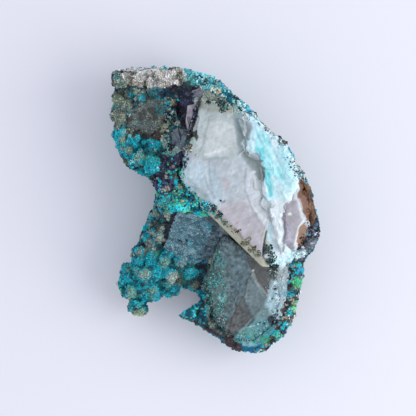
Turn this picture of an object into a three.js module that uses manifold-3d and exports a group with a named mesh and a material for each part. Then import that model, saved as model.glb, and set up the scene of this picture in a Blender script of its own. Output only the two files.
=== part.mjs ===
// Chrysocolla specimen: a crust of turquoise lumps on dark rock, with a pale crystal slab and a smoky crystal
// below it.
// Millimetres, +Z up. It lies on its broken flat base at z = 0, with +Y towards the head.
import * as THREE from 'three';
import { ConvexGeometry } from 'three/addons/geometries/ConvexGeometry.js';
import { ImprovedNoise } from 'three/addons/math/ImprovedNoise.js';
import { mergeVertices } from 'three/addons/utils/BufferGeometryUtils.js';
import Module from 'manifold-3d';

const wasm = await Module();
wasm.setup();

// Driving dimensions
const CELL = 1.6;                 // sampling step of the rock surface
const SAMPLE_BOX = { min: [-23, -31, -7], max: [23, 31, 25] };
const FIT_GAP = 0.3;              // clearance between a crystal and its socket
const LOBE_BLEND = 2.4;           // width over which neighbouring lobes run together
const CARVE_BLEND = 1.2;          // rounding at the edge of a carved hollow
const LUMP_SIZE = 3.6;            // spacing of the rounded lumps of the crust
const LUMP_HEIGHT = 1.5;
const LUMP_LEVEL = 0.75;          // part of a lump, from 0 to 1, that lies at the lobe's own surface
const ROUGH_SIZE = 5.5;           // scale of the broad unevenness of the rock
const ROUGH_HEIGHT = 0.5;
const WIDEST_Z = 13;              // height at which the flanks stand out furthest
const FLANK_SIZE = 6.5;           // scale of the bays that the flanks draw back into below that height
const FLANK_DEPTH = 3.2;
const LEDGE_SPACING = 5;          // height from one layer of the rock to the next
const LEDGE_DEPTH = 0.9;
const LEDGE_TILT = [0.12, -0.08]; // rise of the layers per mm of X and of Y
const BAY_SHIFT = 7.3;            // moves the pattern of the bays along X
const SHEET_HEIGHT = 0.7;         // how far the silky sheet stands above the slab
const NODULE_SINK = 0.5;          // share of a nodule's radius that is sunk into the rock
const SLOPE_STEP = 0.5;           // step for finding which way the surface faces
const SETTLE_STEPS = 6;           // steps in which a nodule finds the surface
const FILLED_SAMPLE = -0.1;       // distance given to a sample that is filled to keep the surface clean
const BASE_BLOCK = [60, 80, 40];  // block above z = 0 that the rock is kept to

// Lobes of the rock. Each has its outline seen from above, a top and a bottom plane given as
// [height at the origin, rise per mm of X, rise per mm of Y], and the rounding of its edges.
const HEAD = {
  outline: [
    [-20.0, 26.5], [-18.6, 28.1], [-14.1, 28.8], [-9.8, 29.0], [-6.0, 28.2], [-2.0, 24.0], [-3.0, 13.0],
    [-7.5, 5.5], [-11.0, 4.8], [-14.9, 7.6], [-18.0, 9.2], [-19.4, 11.6], [-20.1, 14.8], [-20.7, 18.4],
    [-20.5, 22.0],
  ],
  top: [21.2, 0.3, -0.03],
  bottom: [-0.6, -0.2, 0.02],
  topRound: 4.5,
  bottomRound: 6,
};
const SHOULDER = {
  outline: [
    [-7.5, 28.0], [-1.1, 26.6], [1.7, 24.6], [3.7, 22.7], [6.8, 19.8], [9.8, 16.5], [12.6, 13.5],
    [14.4, 11.4], [16.1, 8.0], [18.0, 5.4], [19.4, 1.8], [20.3, -1.8], [20.1, -5.4], [18.7, -8.4],
    [16.5, -10.2], [9.4, -9.6], [0.2, -0.6], [-4.0, -0.8], [-10.5, 4.0], [-9.0, 14.0],
  ],
  top: [19.2, -0.02, 0.0],
  bottom: [-5.0, 0.0, 0.0],
  topRound: 2.2,
  bottomRound: 8.5,
};
const LOWER = {
  outline: [
    [17.0, -8.5], [16.9, -12.7], [16.6, -15.2], [15.8, -17.2], [15.6, -19.8], [14.6, -23.0], [13.1, -25.8],
    [10.8, -27.8], [8.8, -28.8], [6.0, -28.1], [3.3, -27.1], [1.7, -25.8], [-0.7, -24.4], [-3.4, -23.3],
    [-7.0, -21.2], [-5.4, -19.6], [-3.6, -18.4], [-2.6, -15.0], [-1.0, -9.0], [4.0, -4.0], [12.0, -4.0],
  ],
  top: [13.3, 0.2, 0.08],
  bottom: [-5.0, 0.0, 0.0],
  topRound: 1.8,
  bottomRound: 7,
};
const LEG = {
  outline: [
    [-11.0, 5.0], [-11.8, 3.0], [-13.4, -0.5], [-14.9, -4.0], [-16.4, -7.6], [-17.4, -10.8], [-18.9, -13.0],
    [-19.5, -14.8], [-18.9, -16.4], [-17.7, -18.8], [-17.1, -21.2], [-15.7, -22.4], [-14.0, -21.6],
    [-13.0, -18.8],
    [-11.8, -17.6], [-8.6, -17.8], [-6.8, -15.8], [-4.6, -15.0], [-4.8, -9.0], [-5.0, 0.0], [-6.0, 6.0],
  ],
  top: [16.0, 0.06, 0.27],
  bottom: [0.0, -0.02, -0.06],
  topRound: 3.8,
  bottomRound: 4,
};
const CENTRE = {
  outline: [
    [-11.0, 3.5], [-1.0, 1.0], [5.0, -4.5], [2.0, -13.0], [-2.4, -17.2], [-6.2, -16.6], [-9.0, -9.0],
  ],
  top: [19.2, 0.1, 0.62],
  bottom: [-5.0, 0.0, 0.0],
  topRound: 1.5,
  bottomRound: 5,
};
const LOBES = [SHOULDER, HEAD, LEG, CENTRE, LOWER];

// Rims and crests: a round bar along points, running into the lobe that carries it
const RIDGES = [
  {
    radius: 1.1,
    points: [
      [12.7, 12.9, 17.8], [16.4, 7.4, 18.4], [18.6, 1.8, 18.6], [19.3, -4.6, 18.4], [16.4, -9.4, 17.2],
    ],
  },
  { radius: 1.1, points: [[-1.0, 25.2, 18.2], [4.8, 20.8, 18.8], [12.7, 12.9, 17.8]] },
  {
    radius: 1.3,
    points: [[16.0, -10.5, 15.6], [15.4, -16.5, 15.0], [13.6, -22.8, 13.2], [9.2, -26.6, 11.2]],
  },
  {
    radius: 0.9,
    points: [[-3.4, -22.0, 10.4], [-0.6, -23.4, 11.0], [4.2, -26.2, 11.4], [9.2, -26.6, 11.2]],
  },
  { radius: 1.6, points: [[-18.0, 26.0, 14.6], [-12.0, 26.4, 17.0], [-6.0, 25.4, 18.6]] },
  { radius: 1.6, points: [[-10.6, 5.4, 17.0], [-8.6, 10.0, 18.4], [-6.8, 14.5, 19.2]] },
];

// Hollows carved into the rock: an ellipsoid each, as centre and half sizes
const HOLLOWS = [
  { centre: [-13.6, 18.4, 19.6], half: [4.4, 3.4, 3.6] },
  { centre: [-7.6, 19.6, 20.5], half: [1.8, 3.2, 4.8] },
  { centre: [-2.6, -12.8, 13.0], half: [2.0, 3.8, 4.6] },
  { centre: [-5.0, -18.6, 8.0], half: [1.7, 2.6, 10.0] },
  { centre: [-15.4, 3.6, 9.0], half: [4.6, 4.4, 8.0] },
];

// Pointed end of the lower flange: the corners of a thin wedge
const FLANGE_POINT = [
  [-7.3, -21.0, 9.8], [-4.2, -19.0, 10.8], [-1.0, -18.6, 11.4], [0.0, -23.8, 11.4], [-3.4, -23.0, 10.6],
  [-5.8, -21.0, 8.2], [-1.6, -19.4, 5.6], [0.0, -22.6, 5.6],
];

// The smoother face between the leg and the slab, and the share of the lump height that it keeps
const CENTRE_FACE = { middle: [-3.6, -5.6], half: [6, 8.5], fade: [0.7, 1.2], share: 0.2 };

// Larger lumps of the crust: a place near the surface, which they are sunk into, and a radius
const NODULES = [
  [-14.0, -13.2, 12, 2.1], [-8.2, -13.2, 12, 2.2], [-5.8, -11.6, 11, 1.5], [-10.4, -10.2, 14, 2.0],
  [-17.5, -15.2, 9, 2.3], [-15.6, -20.8, 9, 2.0], [-12.4, -16.6, 10, 2.0], [-9.4, -16.0, 10, 2.0],
  [-11.6, -6.4, 15, 1.6], [-17.6, -12.6, 8, 2.0], [-15.6, -8.2, 11, 1.8], [-14.0, -4.4, 12, 1.6],
  [-19.0, 23.0, 13, 1.8], [-19.4, 19.4, 12, 1.9], [-19.0, 15.4, 13, 2.0], [-17.0, 11.4, 14, 2.2],
  [-14.2, 11.6, 17, 2.2], [-11.6, 8.6, 17, 2.0], [-15.2, 14.8, 17, 1.7], [-10.8, 12.4, 18, 1.7],
  [14.6, 11.2, 16, 1.5], [15.8, -12.8, 13, 1.6], [15.6, -15.6, 12, 1.5], [14.6, -20.2, 11, 1.6],
  [-9.6, 27.0, 15, 1.6], [1.2, -24.2, 8, 1.7], [6.0, -26.6, 8, 1.7], [18.6, -3.0, 12, 2.1],
  [17.6, 4.0, 11, 2.0], [6.8, 18.6, 12, 1.8], [12.4, 13.0, 9, 1.9], [-16.2, 25.0, 10, 2.1],
  [-18.8, 26.4, 15, 1.9],
];

// Pale slab: its flat top face, the outer edge of its bevels and its root in the rock
const SLAB_TOP = [
  [-2.6, 21.2, 22.6], [2.4, 20.0, 22.8], [7.2, 16.8, 23.0], [12.4, 11.6, 23.0], [14.4, 7.4, 22.6],
  [13.4, -6.4, 21.6], [9.8, -8.4, 21.4], [0.4, 1.4, 22.0], [-5.2, 6.8, 22.0], [-4.2, 13.6, 22.4],
];
const SLAB_EDGE = [
  [-3.6, 22.6, 20.6], [2.8, 21.2, 20.6], [8.0, 17.9, 20.6], [14.2, 12.6, 20.4], [17.2, 6.8, 20.2],
  [18.8, 1.4, 19.8], [18.9, -2.8, 19.4], [17.6, -6.6, 18.8], [13.0, -11.2, 17.8], [9.8, -10.4, 19.4],
  [-0.4, -0.3, 20.2], [-6.8, 6.2, 20.4], [-5.6, 13.2, 20.6],
];
const SLAB_ROOT = [
  [-2.4, 20.0, 14.0], [5.0, 17.0, 14.0], [13.0, 8.0, 14.0], [15.0, -3.0, 14.0], [10.6, -8.6, 14.0],
  [1.4, -0.4, 14.0], [-4.0, 6.0, 14.0],
];
// Ragged outline of the silky sheet on the right part of the slab
const SHEET_OUTLINE = [
  [4.6, 18.4], [6.6, 13.4], [6.2, 11.4], [9.0, 9.6], [9.8, 3.0], [9.2, 1.4], [11.2, -0.6], [11.8, -3.2],
  [13.4, -8.4], [14.2, -4.6], [13.8, 1.0], [15.0, 2.2], [15.4, 5.2], [15.2, 8.6], [12.6, 12.8], [8.4, 16.4],
];
const SHEET_Z = [17, 26];

// Smoky crystal: its upper corners and its root in the rock
const SMOKY_TOP = [
  [1.8, -5.2, 16.8], [8.6, -10.0, 18.0], [11.6, -12.2, 17.0], [12.6, -18.0, 15.2], [11.2, -22.8, 13.8],
  [7.4, -25.8, 12.6], [3.2, -25.4, 11.8], [-0.2, -22.8, 10.6], [-1.8, -19.0, 9.6], [-1.2, -13.6, 10.8],
  [0.2, -8.0, 13.6], [5.4, -16.4, 16.2], [2.4, -23.6, 13.0],
];
const SMOKY_ROOT = [
  [3.0, -8.0, 7.0], [10.0, -13.6, 7.0], [10.0, -21.6, 7.0], [4.0, -23.0, 7.0], [0.6, -20.0, 7.0],
  [0.4, -13.0, 7.0],
];

function plane(coefficients, x, y) {
  return coefficients[0] + coefficients[1] * x + coefficients[2] * y;
}

// Distance to a closed outline, negative inside
function outlineDistance(outline, x, y) {
  let nearest = Infinity;
  let inside = false;
  for (let i = 0, j = outline.length - 1; i < outline.length; j = i++) {
    const [ax, ay] = outline[j];
    const [bx, by] = outline[i];
    const ex = bx - ax;
    const ey = by - ay;
    const t = THREE.MathUtils.clamp(((x - ax) * ex + (y - ay) * ey) / (ex * ex + ey * ey), 0, 1);
    nearest = Math.min(nearest, Math.hypot(x - ax - t * ex, y - ay - t * ey));
    if ((ay > y) !== (by > y) && x < ax + (ex * (y - ay)) / ey) inside = !inside;
  }
  return inside ? -nearest : nearest;
}

function lobeDistance(lobe, x, y, z) {
  const above = z - plane(lobe.top, x, y);
  const below = plane(lobe.bottom, x, y) - z;
  const round = above > below ? lobe.topRound : lobe.bottomRound;
  const side = outlineDistance(lobe.outline, x, y) + round;
  const level = Math.max(above, below) + round;
  return Math.hypot(Math.max(side, 0), Math.max(level, 0)) + Math.min(Math.max(side, level), 0) - round;
}

function ridgeDistance(ridge, x, y, z) {
  let nearest = Infinity;
  for (let i = 1; i < ridge.points.length; i++) {
    const start = new THREE.Vector3(...ridge.points[i - 1]);
    const line = new THREE.Line3(start, new THREE.Vector3(...ridge.points[i]));
    const here = new THREE.Vector3(x, y, z);
    nearest = Math.min(nearest, line.closestPointToPoint(here, true, new THREE.Vector3()).distanceTo(here));
  }
  return nearest - ridge.radius;
}

function hollowDistance(hollow, x, y, z) {
  const [cx, cy, cz] = hollow.centre;
  const [hx, hy, hz] = hollow.half;
  const scaled = Math.hypot((x - cx) / hx, (y - cy) / hy, (z - cz) / hz);
  return (scaled - 1) * Math.min(hx, hy, hz);
}

function smoothUnion(a, b, width) {
  const h = Math.max(width - Math.abs(a - b), 0) / width;
  return Math.min(a, b) - (h * h * width) / 4;
}

// Repeatable number from 0 to 1 for a grid cell
function cellRandom(i, j, k, salt) {
  const s = Math.sin(i * 127.1 + j * 311.7 + k * 74.7 + salt * 53.3) * 43758.5453;
  return s - Math.floor(s);
}

// Rounded lumps packed side by side: 1 at the middle of a lump and 0 between lumps
function lumps(x, y, z) {
  const cell = [x / LUMP_SIZE, y / LUMP_SIZE, z / LUMP_SIZE];
  const base = cell.map(Math.floor);
  let nearest = 1;
  for (let di = -1; di <= 1; di++) {
    for (let dj = -1; dj <= 1; dj++) {
      for (let dk = -1; dk <= 1; dk++) {
        const [i, j, k] = [base[0] + di, base[1] + dj, base[2] + dk];
        const dx = i + cellRandom(i, j, k, 1) - cell[0];
        const dy = j + cellRandom(i, j, k, 2) - cell[1];
        const dz = k + cellRandom(i, j, k, 3) - cell[2];
        nearest = Math.min(nearest, dx * dx + dy * dy + dz * dz);
      }
    }
  }
  return 1 - nearest;
}

const noise = new ImprovedNoise();

// How far the flank draws back at a point below its widest height, in bays and layers
function flankRecess(x, y, z) {
  const below = THREE.MathUtils.clamp((WIDEST_Z - z) / WIDEST_Z, 0, 1);
  const bay = 0.5 + noise.noise(x / FLANK_SIZE + BAY_SHIFT, y / FLANK_SIZE, z / FLANK_SIZE);
  const level = z + LEDGE_TILT[0] * x + LEDGE_TILT[1] * y;
  const layer = 0.5 + 0.5 * Math.sin((2 * Math.PI * level) / LEDGE_SPACING);
  return Math.sqrt(below) * (FLANK_DEPTH * bay * below + LEDGE_DEPTH * layer);
}

// Share of the full lump height: the sugary centre face is smoother than the crust round it
function lumpShare(x, y) {
  const [cx, cy] = CENTRE_FACE.middle;
  const [hx, hy] = CENTRE_FACE.half;
  const crust = THREE.MathUtils.smoothstep(Math.hypot((x - cx) / hx, (y - cy) / hy), ...CENTRE_FACE.fade);
  return THREE.MathUtils.lerp(CENTRE_FACE.share, 1, crust);
}

function rockDistance(x, y, z) {
  let distance = Infinity;
  for (const lobe of LOBES) distance = smoothUnion(distance, lobeDistance(lobe, x, y, z), LOBE_BLEND);
  for (const ridge of RIDGES) distance = smoothUnion(distance, ridgeDistance(ridge, x, y, z), LOBE_BLEND);
  distance += flankRecess(x, y, z);
  for (const hollow of HOLLOWS) {
    distance = -smoothUnion(-distance, hollowDistance(hollow, x, y, z), CARVE_BLEND);
  }
  const rough = ROUGH_HEIGHT * noise.noise(x / ROUGH_SIZE, y / ROUGH_SIZE, z / ROUGH_SIZE);
  const lump = LUMP_HEIGHT * lumpShare(x, y) * (lumps(x, y, z) - LUMP_LEVEL);
  return distance - rough - lump;
}

// Samples of a distance function on a grid, and the closed surface through its zero level.
// One vertex stands in each cell that the surface crosses.
function surfaceOf(distanceAt) {
  const size = SAMPLE_BOX.min.map((low, axis) => Math.ceil((SAMPLE_BOX.max[axis] - low) / CELL) + 1);
  const [nx, ny, nz] = size;
  const index = (i, j, k) => i + nx * (j + ny * k);
  const coordinate = (axis, step) => SAMPLE_BOX.min[axis] + step * CELL;
  const samples = new Float64Array(nx * ny * nz);
  for (let k = 0; k < nz; k++) {
    for (let j = 0; j < ny; j++) {
      for (let i = 0; i < nx; i++) {
        samples[index(i, j, k)] = distanceAt(coordinate(0, i), coordinate(1, j), coordinate(2, k));
      }
    }
  }
  const corners = [0, 1, 2, 3, 4, 5, 6, 7].map((c) => index(c & 1, (c >> 1) & 1, c >> 2));
  closePinches(samples, size, index, corners);

  const positions = [];
  const vertexOf = new Map();
  for (let k = 0; k < nz - 1; k++) {
    for (let j = 0; j < ny - 1; j++) {
      for (let i = 0; i < nx - 1; i++) {
        const base = index(i, j, k);
        const point = cellVertex(samples, base, corners);
        if (!point) continue;
        vertexOf.set(base, positions.length / 3);
        positions.push(coordinate(0, i + point.x), coordinate(1, j + point.y), coordinate(2, k + point.z));
      }
    }
  }

  const triangles = [];
  const steps = [1, nx, nx * ny];
  for (const base of vertexOf.keys()) {
    for (let axis = 0; axis < 3; axis++) {
      const inside = samples[base] < 0;
      if (inside === samples[base + steps[axis]] < 0) continue;
      const u = steps[(axis + 1) % 3];
      const v = steps[(axis + 2) % 3];
      const quad = [base, base - u, base - u - v, base - v].map((cell) => vertexOf.get(cell));
      if (!inside) quad.reverse();
      triangles.push(...splitQuad(quad, positions));
    }
  }
  return { positions, triangles };
}

// The corners of a cell are numbered so that their bits are the steps along X, Y and Z
const CELL_FACES = [[0, 1, 3, 2], [4, 5, 7, 6], [0, 1, 5, 4], [2, 3, 7, 6], [0, 2, 6, 4], [1, 3, 7, 5]];

// Corners to fill in a cell whose inside corners touch only across a face or through the middle
function pinchedCorners(inside) {
  const face = CELL_FACES.find(([a, b, c, d]) => (
    inside[a] === inside[c] && inside[b] === inside[d] && inside[a] !== inside[b]
  ));
  if (face) return face;
  const count = inside.filter(Boolean).length;
  const isolated = count === 2 ? [0, 1, 2, 3].find((a) => inside[a] && inside[7 - a]) : undefined;
  const missing = count === 6 ? [0, 1, 2, 3].find((a) => !inside[a] && !inside[7 - a]) : undefined;
  if (isolated !== undefined) return [isolated ^ 1, isolated ^ 3];
  return missing === undefined ? [] : [missing, 7 - missing];
}

// Fills the few samples where the surface would touch itself at an edge or a corner of the grid
function closePinches(samples, [nx, ny, nz], index, corners) {
  let changed = true;
  while (changed) {
    changed = false;
    for (let k = 0; k < nz - 1; k++) {
      for (let j = 0; j < ny - 1; j++) {
        for (let i = 0; i < nx - 1; i++) {
          const at = corners.map((offset) => index(i, j, k) + offset);
          for (const corner of pinchedCorners(at.map((sample) => samples[sample] < 0))) {
            if (samples[at[corner]] < 0) continue;
            samples[at[corner]] = FILLED_SAMPLE;
            changed = true;
          }
        }
      }
    }
  }
}

// Mean of the points where the surface crosses the edges of one cell, in cell units
function cellVertex(samples, base, corners) {
  const mean = new THREE.Vector3();
  let crossings = 0;
  for (let a = 0; a < 8; a++) {
    for (const bit of [1, 2, 4]) {
      const b = a | bit;
      if (b === a) continue;
      const low = samples[base + corners[a]];
      const high = samples[base + corners[b]];
      if (low < 0 === high < 0) continue;
      const t = low / (low - high);
      const start = new THREE.Vector3(a & 1, (a >> 1) & 1, a >> 2);
      const end = new THREE.Vector3(b & 1, (b >> 1) & 1, b >> 2);
      mean.add(start.lerp(end, t));
      crossings++;
    }
  }
  return crossings ? mean.divideScalar(crossings) : null;
}

// Two triangles along the shorter diagonal of a quad
function splitQuad([a, b, c, d], positions) {
  const at = (vertex) => new THREE.Vector3().fromArray(positions, vertex * 3);
  const alongAc = at(a).distanceTo(at(c)) <= at(b).distanceTo(at(d));
  return alongAc ? [a, b, c, a, c, d] : [a, b, d, b, c, d];
}

function solidFromArrays(positions, triangles) {
  const mesh = new wasm.Mesh({
    numProp: 3,
    vertProperties: new Float32Array(positions),
    triVerts: new Uint32Array(triangles),
  });
  return new wasm.Manifold(mesh);
}

function solidFromGeometry(geometry) {
  const bare = geometry.clone();
  bare.deleteAttribute('normal');
  bare.deleteAttribute('uv');
  const merged = mergeVertices(bare, 1e-4);
  return solidFromArrays(merged.attributes.position.array, merged.index.array);
}

function geometryFromSolid(solid) {
  const { vertProperties, triVerts } = solid.getMesh();
  const geometry = new THREE.BufferGeometry();
  geometry.setAttribute('position', new THREE.BufferAttribute(vertProperties, 3));
  geometry.setIndex(new THREE.BufferAttribute(triVerts, 1));
  geometry.computeVertexNormals();
  return geometry;
}

// Convex solid round corner points, grown by a margin on every side
function convexSolid(corners, margin = 0) {
  const points = [];
  for (const [x, y, z] of corners) {
    if (margin === 0) {
      points.push(new THREE.Vector3(x, y, z));
      continue;
    }
    for (const sx of [-margin, margin]) {
      for (const sy of [-margin, margin]) {
        for (const sz of [-margin, margin]) points.push(new THREE.Vector3(x + sx, y + sy, z + sz));
      }
    }
  }
  return solidFromGeometry(new ConvexGeometry(points));
}

function prismSolid(outline, [low, high]) {
  const shape = new THREE.Shape(outline.map(([x, y]) => new THREE.Vector2(x, y)));
  const geometry = new THREE.ExtrudeGeometry(shape, { depth: high - low, bevelEnabled: false });
  return solidFromGeometry(geometry.translate(0, 0, low));
}

// A ball moved to the rock's surface and sunk into it
function noduleSolid([x, y, z, radius]) {
  const place = new THREE.Vector3(x, y, z);
  for (let step = 0; step < SETTLE_STEPS; step++) {
    const distance = rockDistance(place.x, place.y, place.z);
    const outward = new THREE.Vector3(
      rockDistance(place.x + SLOPE_STEP, place.y, place.z) - distance,
      rockDistance(place.x, place.y + SLOPE_STEP, place.z) - distance,
      rockDistance(place.x, place.y, place.z + SLOPE_STEP) - distance,
    ).normalize();
    place.addScaledVector(outward, -distance - NODULE_SINK * radius);
  }
  const geometry = new THREE.IcosahedronGeometry(radius, 1);
  return solidFromGeometry(geometry.rotateZ(x).rotateX(y).translate(place.x, place.y, place.z));
}

const slabCorners = [...SLAB_TOP, ...SLAB_EDGE, ...SLAB_ROOT];
const smokyCorners = [...SMOKY_TOP, ...SMOKY_ROOT];

// The silky sheet as a ledge that follows the slab's faces, grown by a margin on every side
function sheetSolid(margin = 0) {
  const middle = new THREE.Vector2();
  for (const [x, y] of SHEET_OUTLINE) middle.add(new THREE.Vector2(x, y));
  middle.divideScalar(SHEET_OUTLINE.length);
  const outline = SHEET_OUTLINE.map(([x, y]) => {
    const point = new THREE.Vector2(x, y);
    return point.addScaledVector(point.clone().sub(middle).normalize(), 2 * margin).toArray();
  });
  return prismSolid(outline, SHEET_Z).intersect(convexSolid(slabCorners, SHEET_HEIGHT + margin));
}

function paleCrystal() {
  return geometryFromSolid(convexSolid(slabCorners).add(sheetSolid()));
}

function smokyCrystal() {
  return geometryFromSolid(convexSolid(smokyCorners).subtract(convexSolid(slabCorners, FIT_GAP)));
}

function matrix() {
  const { positions, triangles } = surfaceOf(rockDistance);
  const aboveBase = new THREE.BoxGeometry(...BASE_BLOCK).translate(0, 0, BASE_BLOCK[2] / 2);
  let solid = solidFromArrays(positions, triangles).add(convexSolid(FLANGE_POINT));
  for (const nodule of NODULES) solid = solid.add(noduleSolid(nodule));
  return geometryFromSolid(
    solid
      .intersect(solidFromGeometry(aboveBase))
      .subtract(convexSolid(slabCorners, FIT_GAP))
      .subtract(sheetSolid(FIT_GAP))
      .subtract(convexSolid(smokyCorners, FIT_GAP)),
  );
}

function piece(name, geometry, color, roughness) {
  const mesh = new THREE.Mesh(geometry, new THREE.MeshStandardMaterial({ color, roughness, metalness: 0 }));
  mesh.name = name;
  return mesh;
}

const specimen = new THREE.Group();
specimen.add(piece('matrix', matrix(), 0x3d8f99, 0.7));
specimen.add(piece('pale_crystal', paleCrystal(), 0xc6d2da, 0.25));
specimen.add(piece('smoky_crystal', smokyCrystal(), 0x62757b, 0.35));

export default specimen;
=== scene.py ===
# Chrysocolla specimen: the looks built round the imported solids. Lengths are in millimetres until a mesh is
# made from them.
import itertools
import math

import bpy
import numpy as np
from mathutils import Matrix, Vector


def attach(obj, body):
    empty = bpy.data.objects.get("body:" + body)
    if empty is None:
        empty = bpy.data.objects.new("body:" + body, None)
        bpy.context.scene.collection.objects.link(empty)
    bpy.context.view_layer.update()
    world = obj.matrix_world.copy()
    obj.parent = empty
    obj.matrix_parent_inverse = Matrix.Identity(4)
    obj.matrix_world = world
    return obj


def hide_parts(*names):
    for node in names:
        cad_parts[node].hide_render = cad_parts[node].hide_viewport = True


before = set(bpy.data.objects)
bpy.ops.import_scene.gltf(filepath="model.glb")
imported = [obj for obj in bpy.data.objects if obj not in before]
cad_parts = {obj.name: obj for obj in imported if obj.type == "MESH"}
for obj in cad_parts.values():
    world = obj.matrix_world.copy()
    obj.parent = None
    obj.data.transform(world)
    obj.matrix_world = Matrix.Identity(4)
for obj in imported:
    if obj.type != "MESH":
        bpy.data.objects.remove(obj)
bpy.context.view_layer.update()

MM = 0.001
SEED = 7
BODY = "root"

# The photograph looks straight down. Places on it are pixels, counted from its upper left corner.
PIXEL = 0.2                       # millimetres that one pixel covers
ORIGIN_PIXEL = (215.0, 211.0)     # the pixel over the origin of the frame

# Camera and light
PICTURE_PIXELS = 416
FIELD_CENTRE = (-1.4, 0.6)
FOCUS_HEIGHT = 16.0
CAMERA_DISTANCE = 1000.0
SENSOR_WIDTH = 36.0
VIEW_METRES = 10
FLOOR_HALF = 1500.0
FLOOR_COLOUR = (223, 223, 231)
FLOOR_GLOW = (0.071, 0.073, 0.083)   # light scattered in from the room, which keeps the shadow pale
KEY_PLACE = (350, -65, 232)
KEY_SIZE = 460
KEY_POWER = 1.26
KEY_COLOUR = (1.0, 0.985, 0.96)
SKY_COLOUR = (0.75, 0.77, 0.85)

# Meshing
ROCK_VOXEL = 0.305
SLAB_VOXEL = 0.18
SMOKY_VOXEL = 0.22
GRAINS_PER_MM2 = 16.0
MOST_TRIANGLES = 180000


def linear(colour):
    """Linear values of a colour given as the 0 to 255 values of a screen."""
    part = np.asarray(colour, float) / 255
    return np.where(part <= 0.04045, part / 12.92, ((part + 0.055) / 1.055) ** 2.4)


# Repeatable noise on arrays of points
def lattice(cell, seed):
    """Value from 0 to 1 for each whole-number cell, which is three numbers."""
    n = (cell[..., 0] * 73856093) ^ (cell[..., 1] * 19349663) ^ (cell[..., 2] * 83492791) ^ (seed * 668265263)
    n = n & 0xFFFFFFFF
    n = ((n ^ (n >> 15)) * 739982445) & 0xFFFFFFFF
    n = ((n ^ (n >> 12)) * 695872825) & 0xFFFFFFFF
    return (n ^ (n >> 15)) / 0xFFFFFFFF


def noise(points, size, seed=0):
    """Smooth noise from -1 to 1 with features of about size."""
    scaled = points / size
    cell = np.floor(scaled).astype(np.int64)
    part = scaled - cell
    part = part * part * (3 - 2 * part)
    total = np.zeros(len(points))
    for corner in itertools.product((0, 1), repeat=3):
        weight = np.prod(np.where(corner, part, 1 - part), axis=1)
        total += weight * lattice(cell + corner, seed)
    return 2 * total - 1


def fractal(points, size, seed=0, octaves=3):
    """Noise with finer and weaker copies of itself added."""
    layers = [noise(points, size / 2**k, seed + k) / 2**k for k in range(octaves)]
    return sum(layers) / (2 - 2.0 ** (1 - octaves))


def streaks(points, angle, along, across, seed=0):
    """Noise drawn out along a direction in plan, which is given in degrees from +X."""
    c, s = math.cos(math.radians(angle)), math.sin(math.radians(angle))
    forward = points[:, 0] * c + points[:, 1] * s
    sideways = points[:, 1] * c - points[:, 0] * s
    return fractal(np.stack([forward / along, sideways / across, points[:, 2] / along], axis=1), 1.0, seed)


def balls(points, size, seed=0):
    """Distance to the nearest of the scattered centres, in units of size, and that centre's own number."""
    scaled = points / size
    cell = np.floor(scaled).astype(np.int64)
    nearest = np.full(len(points), 9.0)
    owner = np.zeros(len(points))
    for step in itertools.product((-1, 0, 1), repeat=3):
        there = cell + step
        centre = there + np.stack([lattice(there, seed + k) for k in (1, 2, 3)], axis=1)
        distance = np.linalg.norm(centre - scaled, axis=1)
        closer = distance < nearest
        nearest[closer] = distance[closer]
        owner[closer] = lattice(there, seed + 4)[closer]
    return nearest, owner


def domes(points, size, seed=0, radius=0.8):
    """Height of ball-like lumps packed side by side, from 0 between them to 1 on top."""
    distance, _ = balls(points, size, seed)
    return np.sqrt(np.clip(1 - (distance / radius) ** 2, 0, 1))


def smooth_step(value, low, high):
    part = np.clip((value - low) / (high - low), 0, 1)
    return part * part * (3 - 2 * part)


# Distances in plan, in pixels
def to_plan(points):
    return np.stack([ORIGIN_PIXEL[0] + points[:, 0] / PIXEL, ORIGIN_PIXEL[1] - points[:, 1] / PIXEL], axis=1)


def line_distance(line, plan, closed=False):
    """Distance to a line through points, and how far along it the nearest place is, in numbers of points."""
    corners = np.asarray(line, float)
    ends = np.roll(corners, -1, axis=0) if closed else corners[1:]
    nearest = np.full(len(plan), 1e9)
    place = np.zeros(len(plan))
    for number, (start, end) in enumerate(zip(corners, ends)):
        edge = end - start
        along = np.clip((plan - start) @ edge / (edge @ edge), 0, 1)
        distance = np.hypot(*(plan - start - along[:, None] * edge).T)
        closer = distance < nearest
        nearest[closer] = distance[closer]
        place[closer] = number + along[closer]
    return nearest, place


def outline_distance(outline, plan):
    """Distance to a closed outline, negative inside."""
    corners = np.asarray(outline, float)
    nearest, _ = line_distance(corners, plan, closed=True)
    inside = np.zeros(len(plan), bool)
    x, y = plan[:, 0], plan[:, 1]
    for (ax, ay), (bx, by) in zip(corners, np.roll(corners, -1, axis=0)):
        crosses = (ay > y) != (by > y)
        inside ^= crosses & (x < ax + (bx - ax) * (y - ay) / ((by - ay) or 1e-9))
    return np.where(inside, -nearest, nearest)


# Marks painted on a surface from above. Each has its colour, how soft its edge is, how strong it is, what it
# covers and how far its edge wanders, in pixels.
NO_COLOUR = (0, 0, 0)         # of a mark that only says where something is


class Patch:
    def __init__(self, colour, soft, amount, outline, wander=1.0):
        self.colour = linear(colour)
        self.soft = soft
        self.amount = amount
        self.outline = outline
        self.wander = wander

    def distance(self, plan):
        return outline_distance(self.outline, plan)


class Spot(Patch):
    def __init__(self, colour, soft, amount, centre, radius, wander=1.0):
        super().__init__(colour, soft, amount, None, wander)
        self.centre, self.radius = centre, radius

    def distance(self, plan):
        return np.hypot(*(plan - self.centre).T) - self.radius


class Stroke(Patch):
    def __init__(self, colour, width, amount, line, wander=0.5):
        super().__init__(colour, 0.8 * width, amount, None, wander)
        self.line, self.width = line, width

    def distance(self, plan):
        return line_distance(self.line, plan)[0] - self.width / 2


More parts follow.
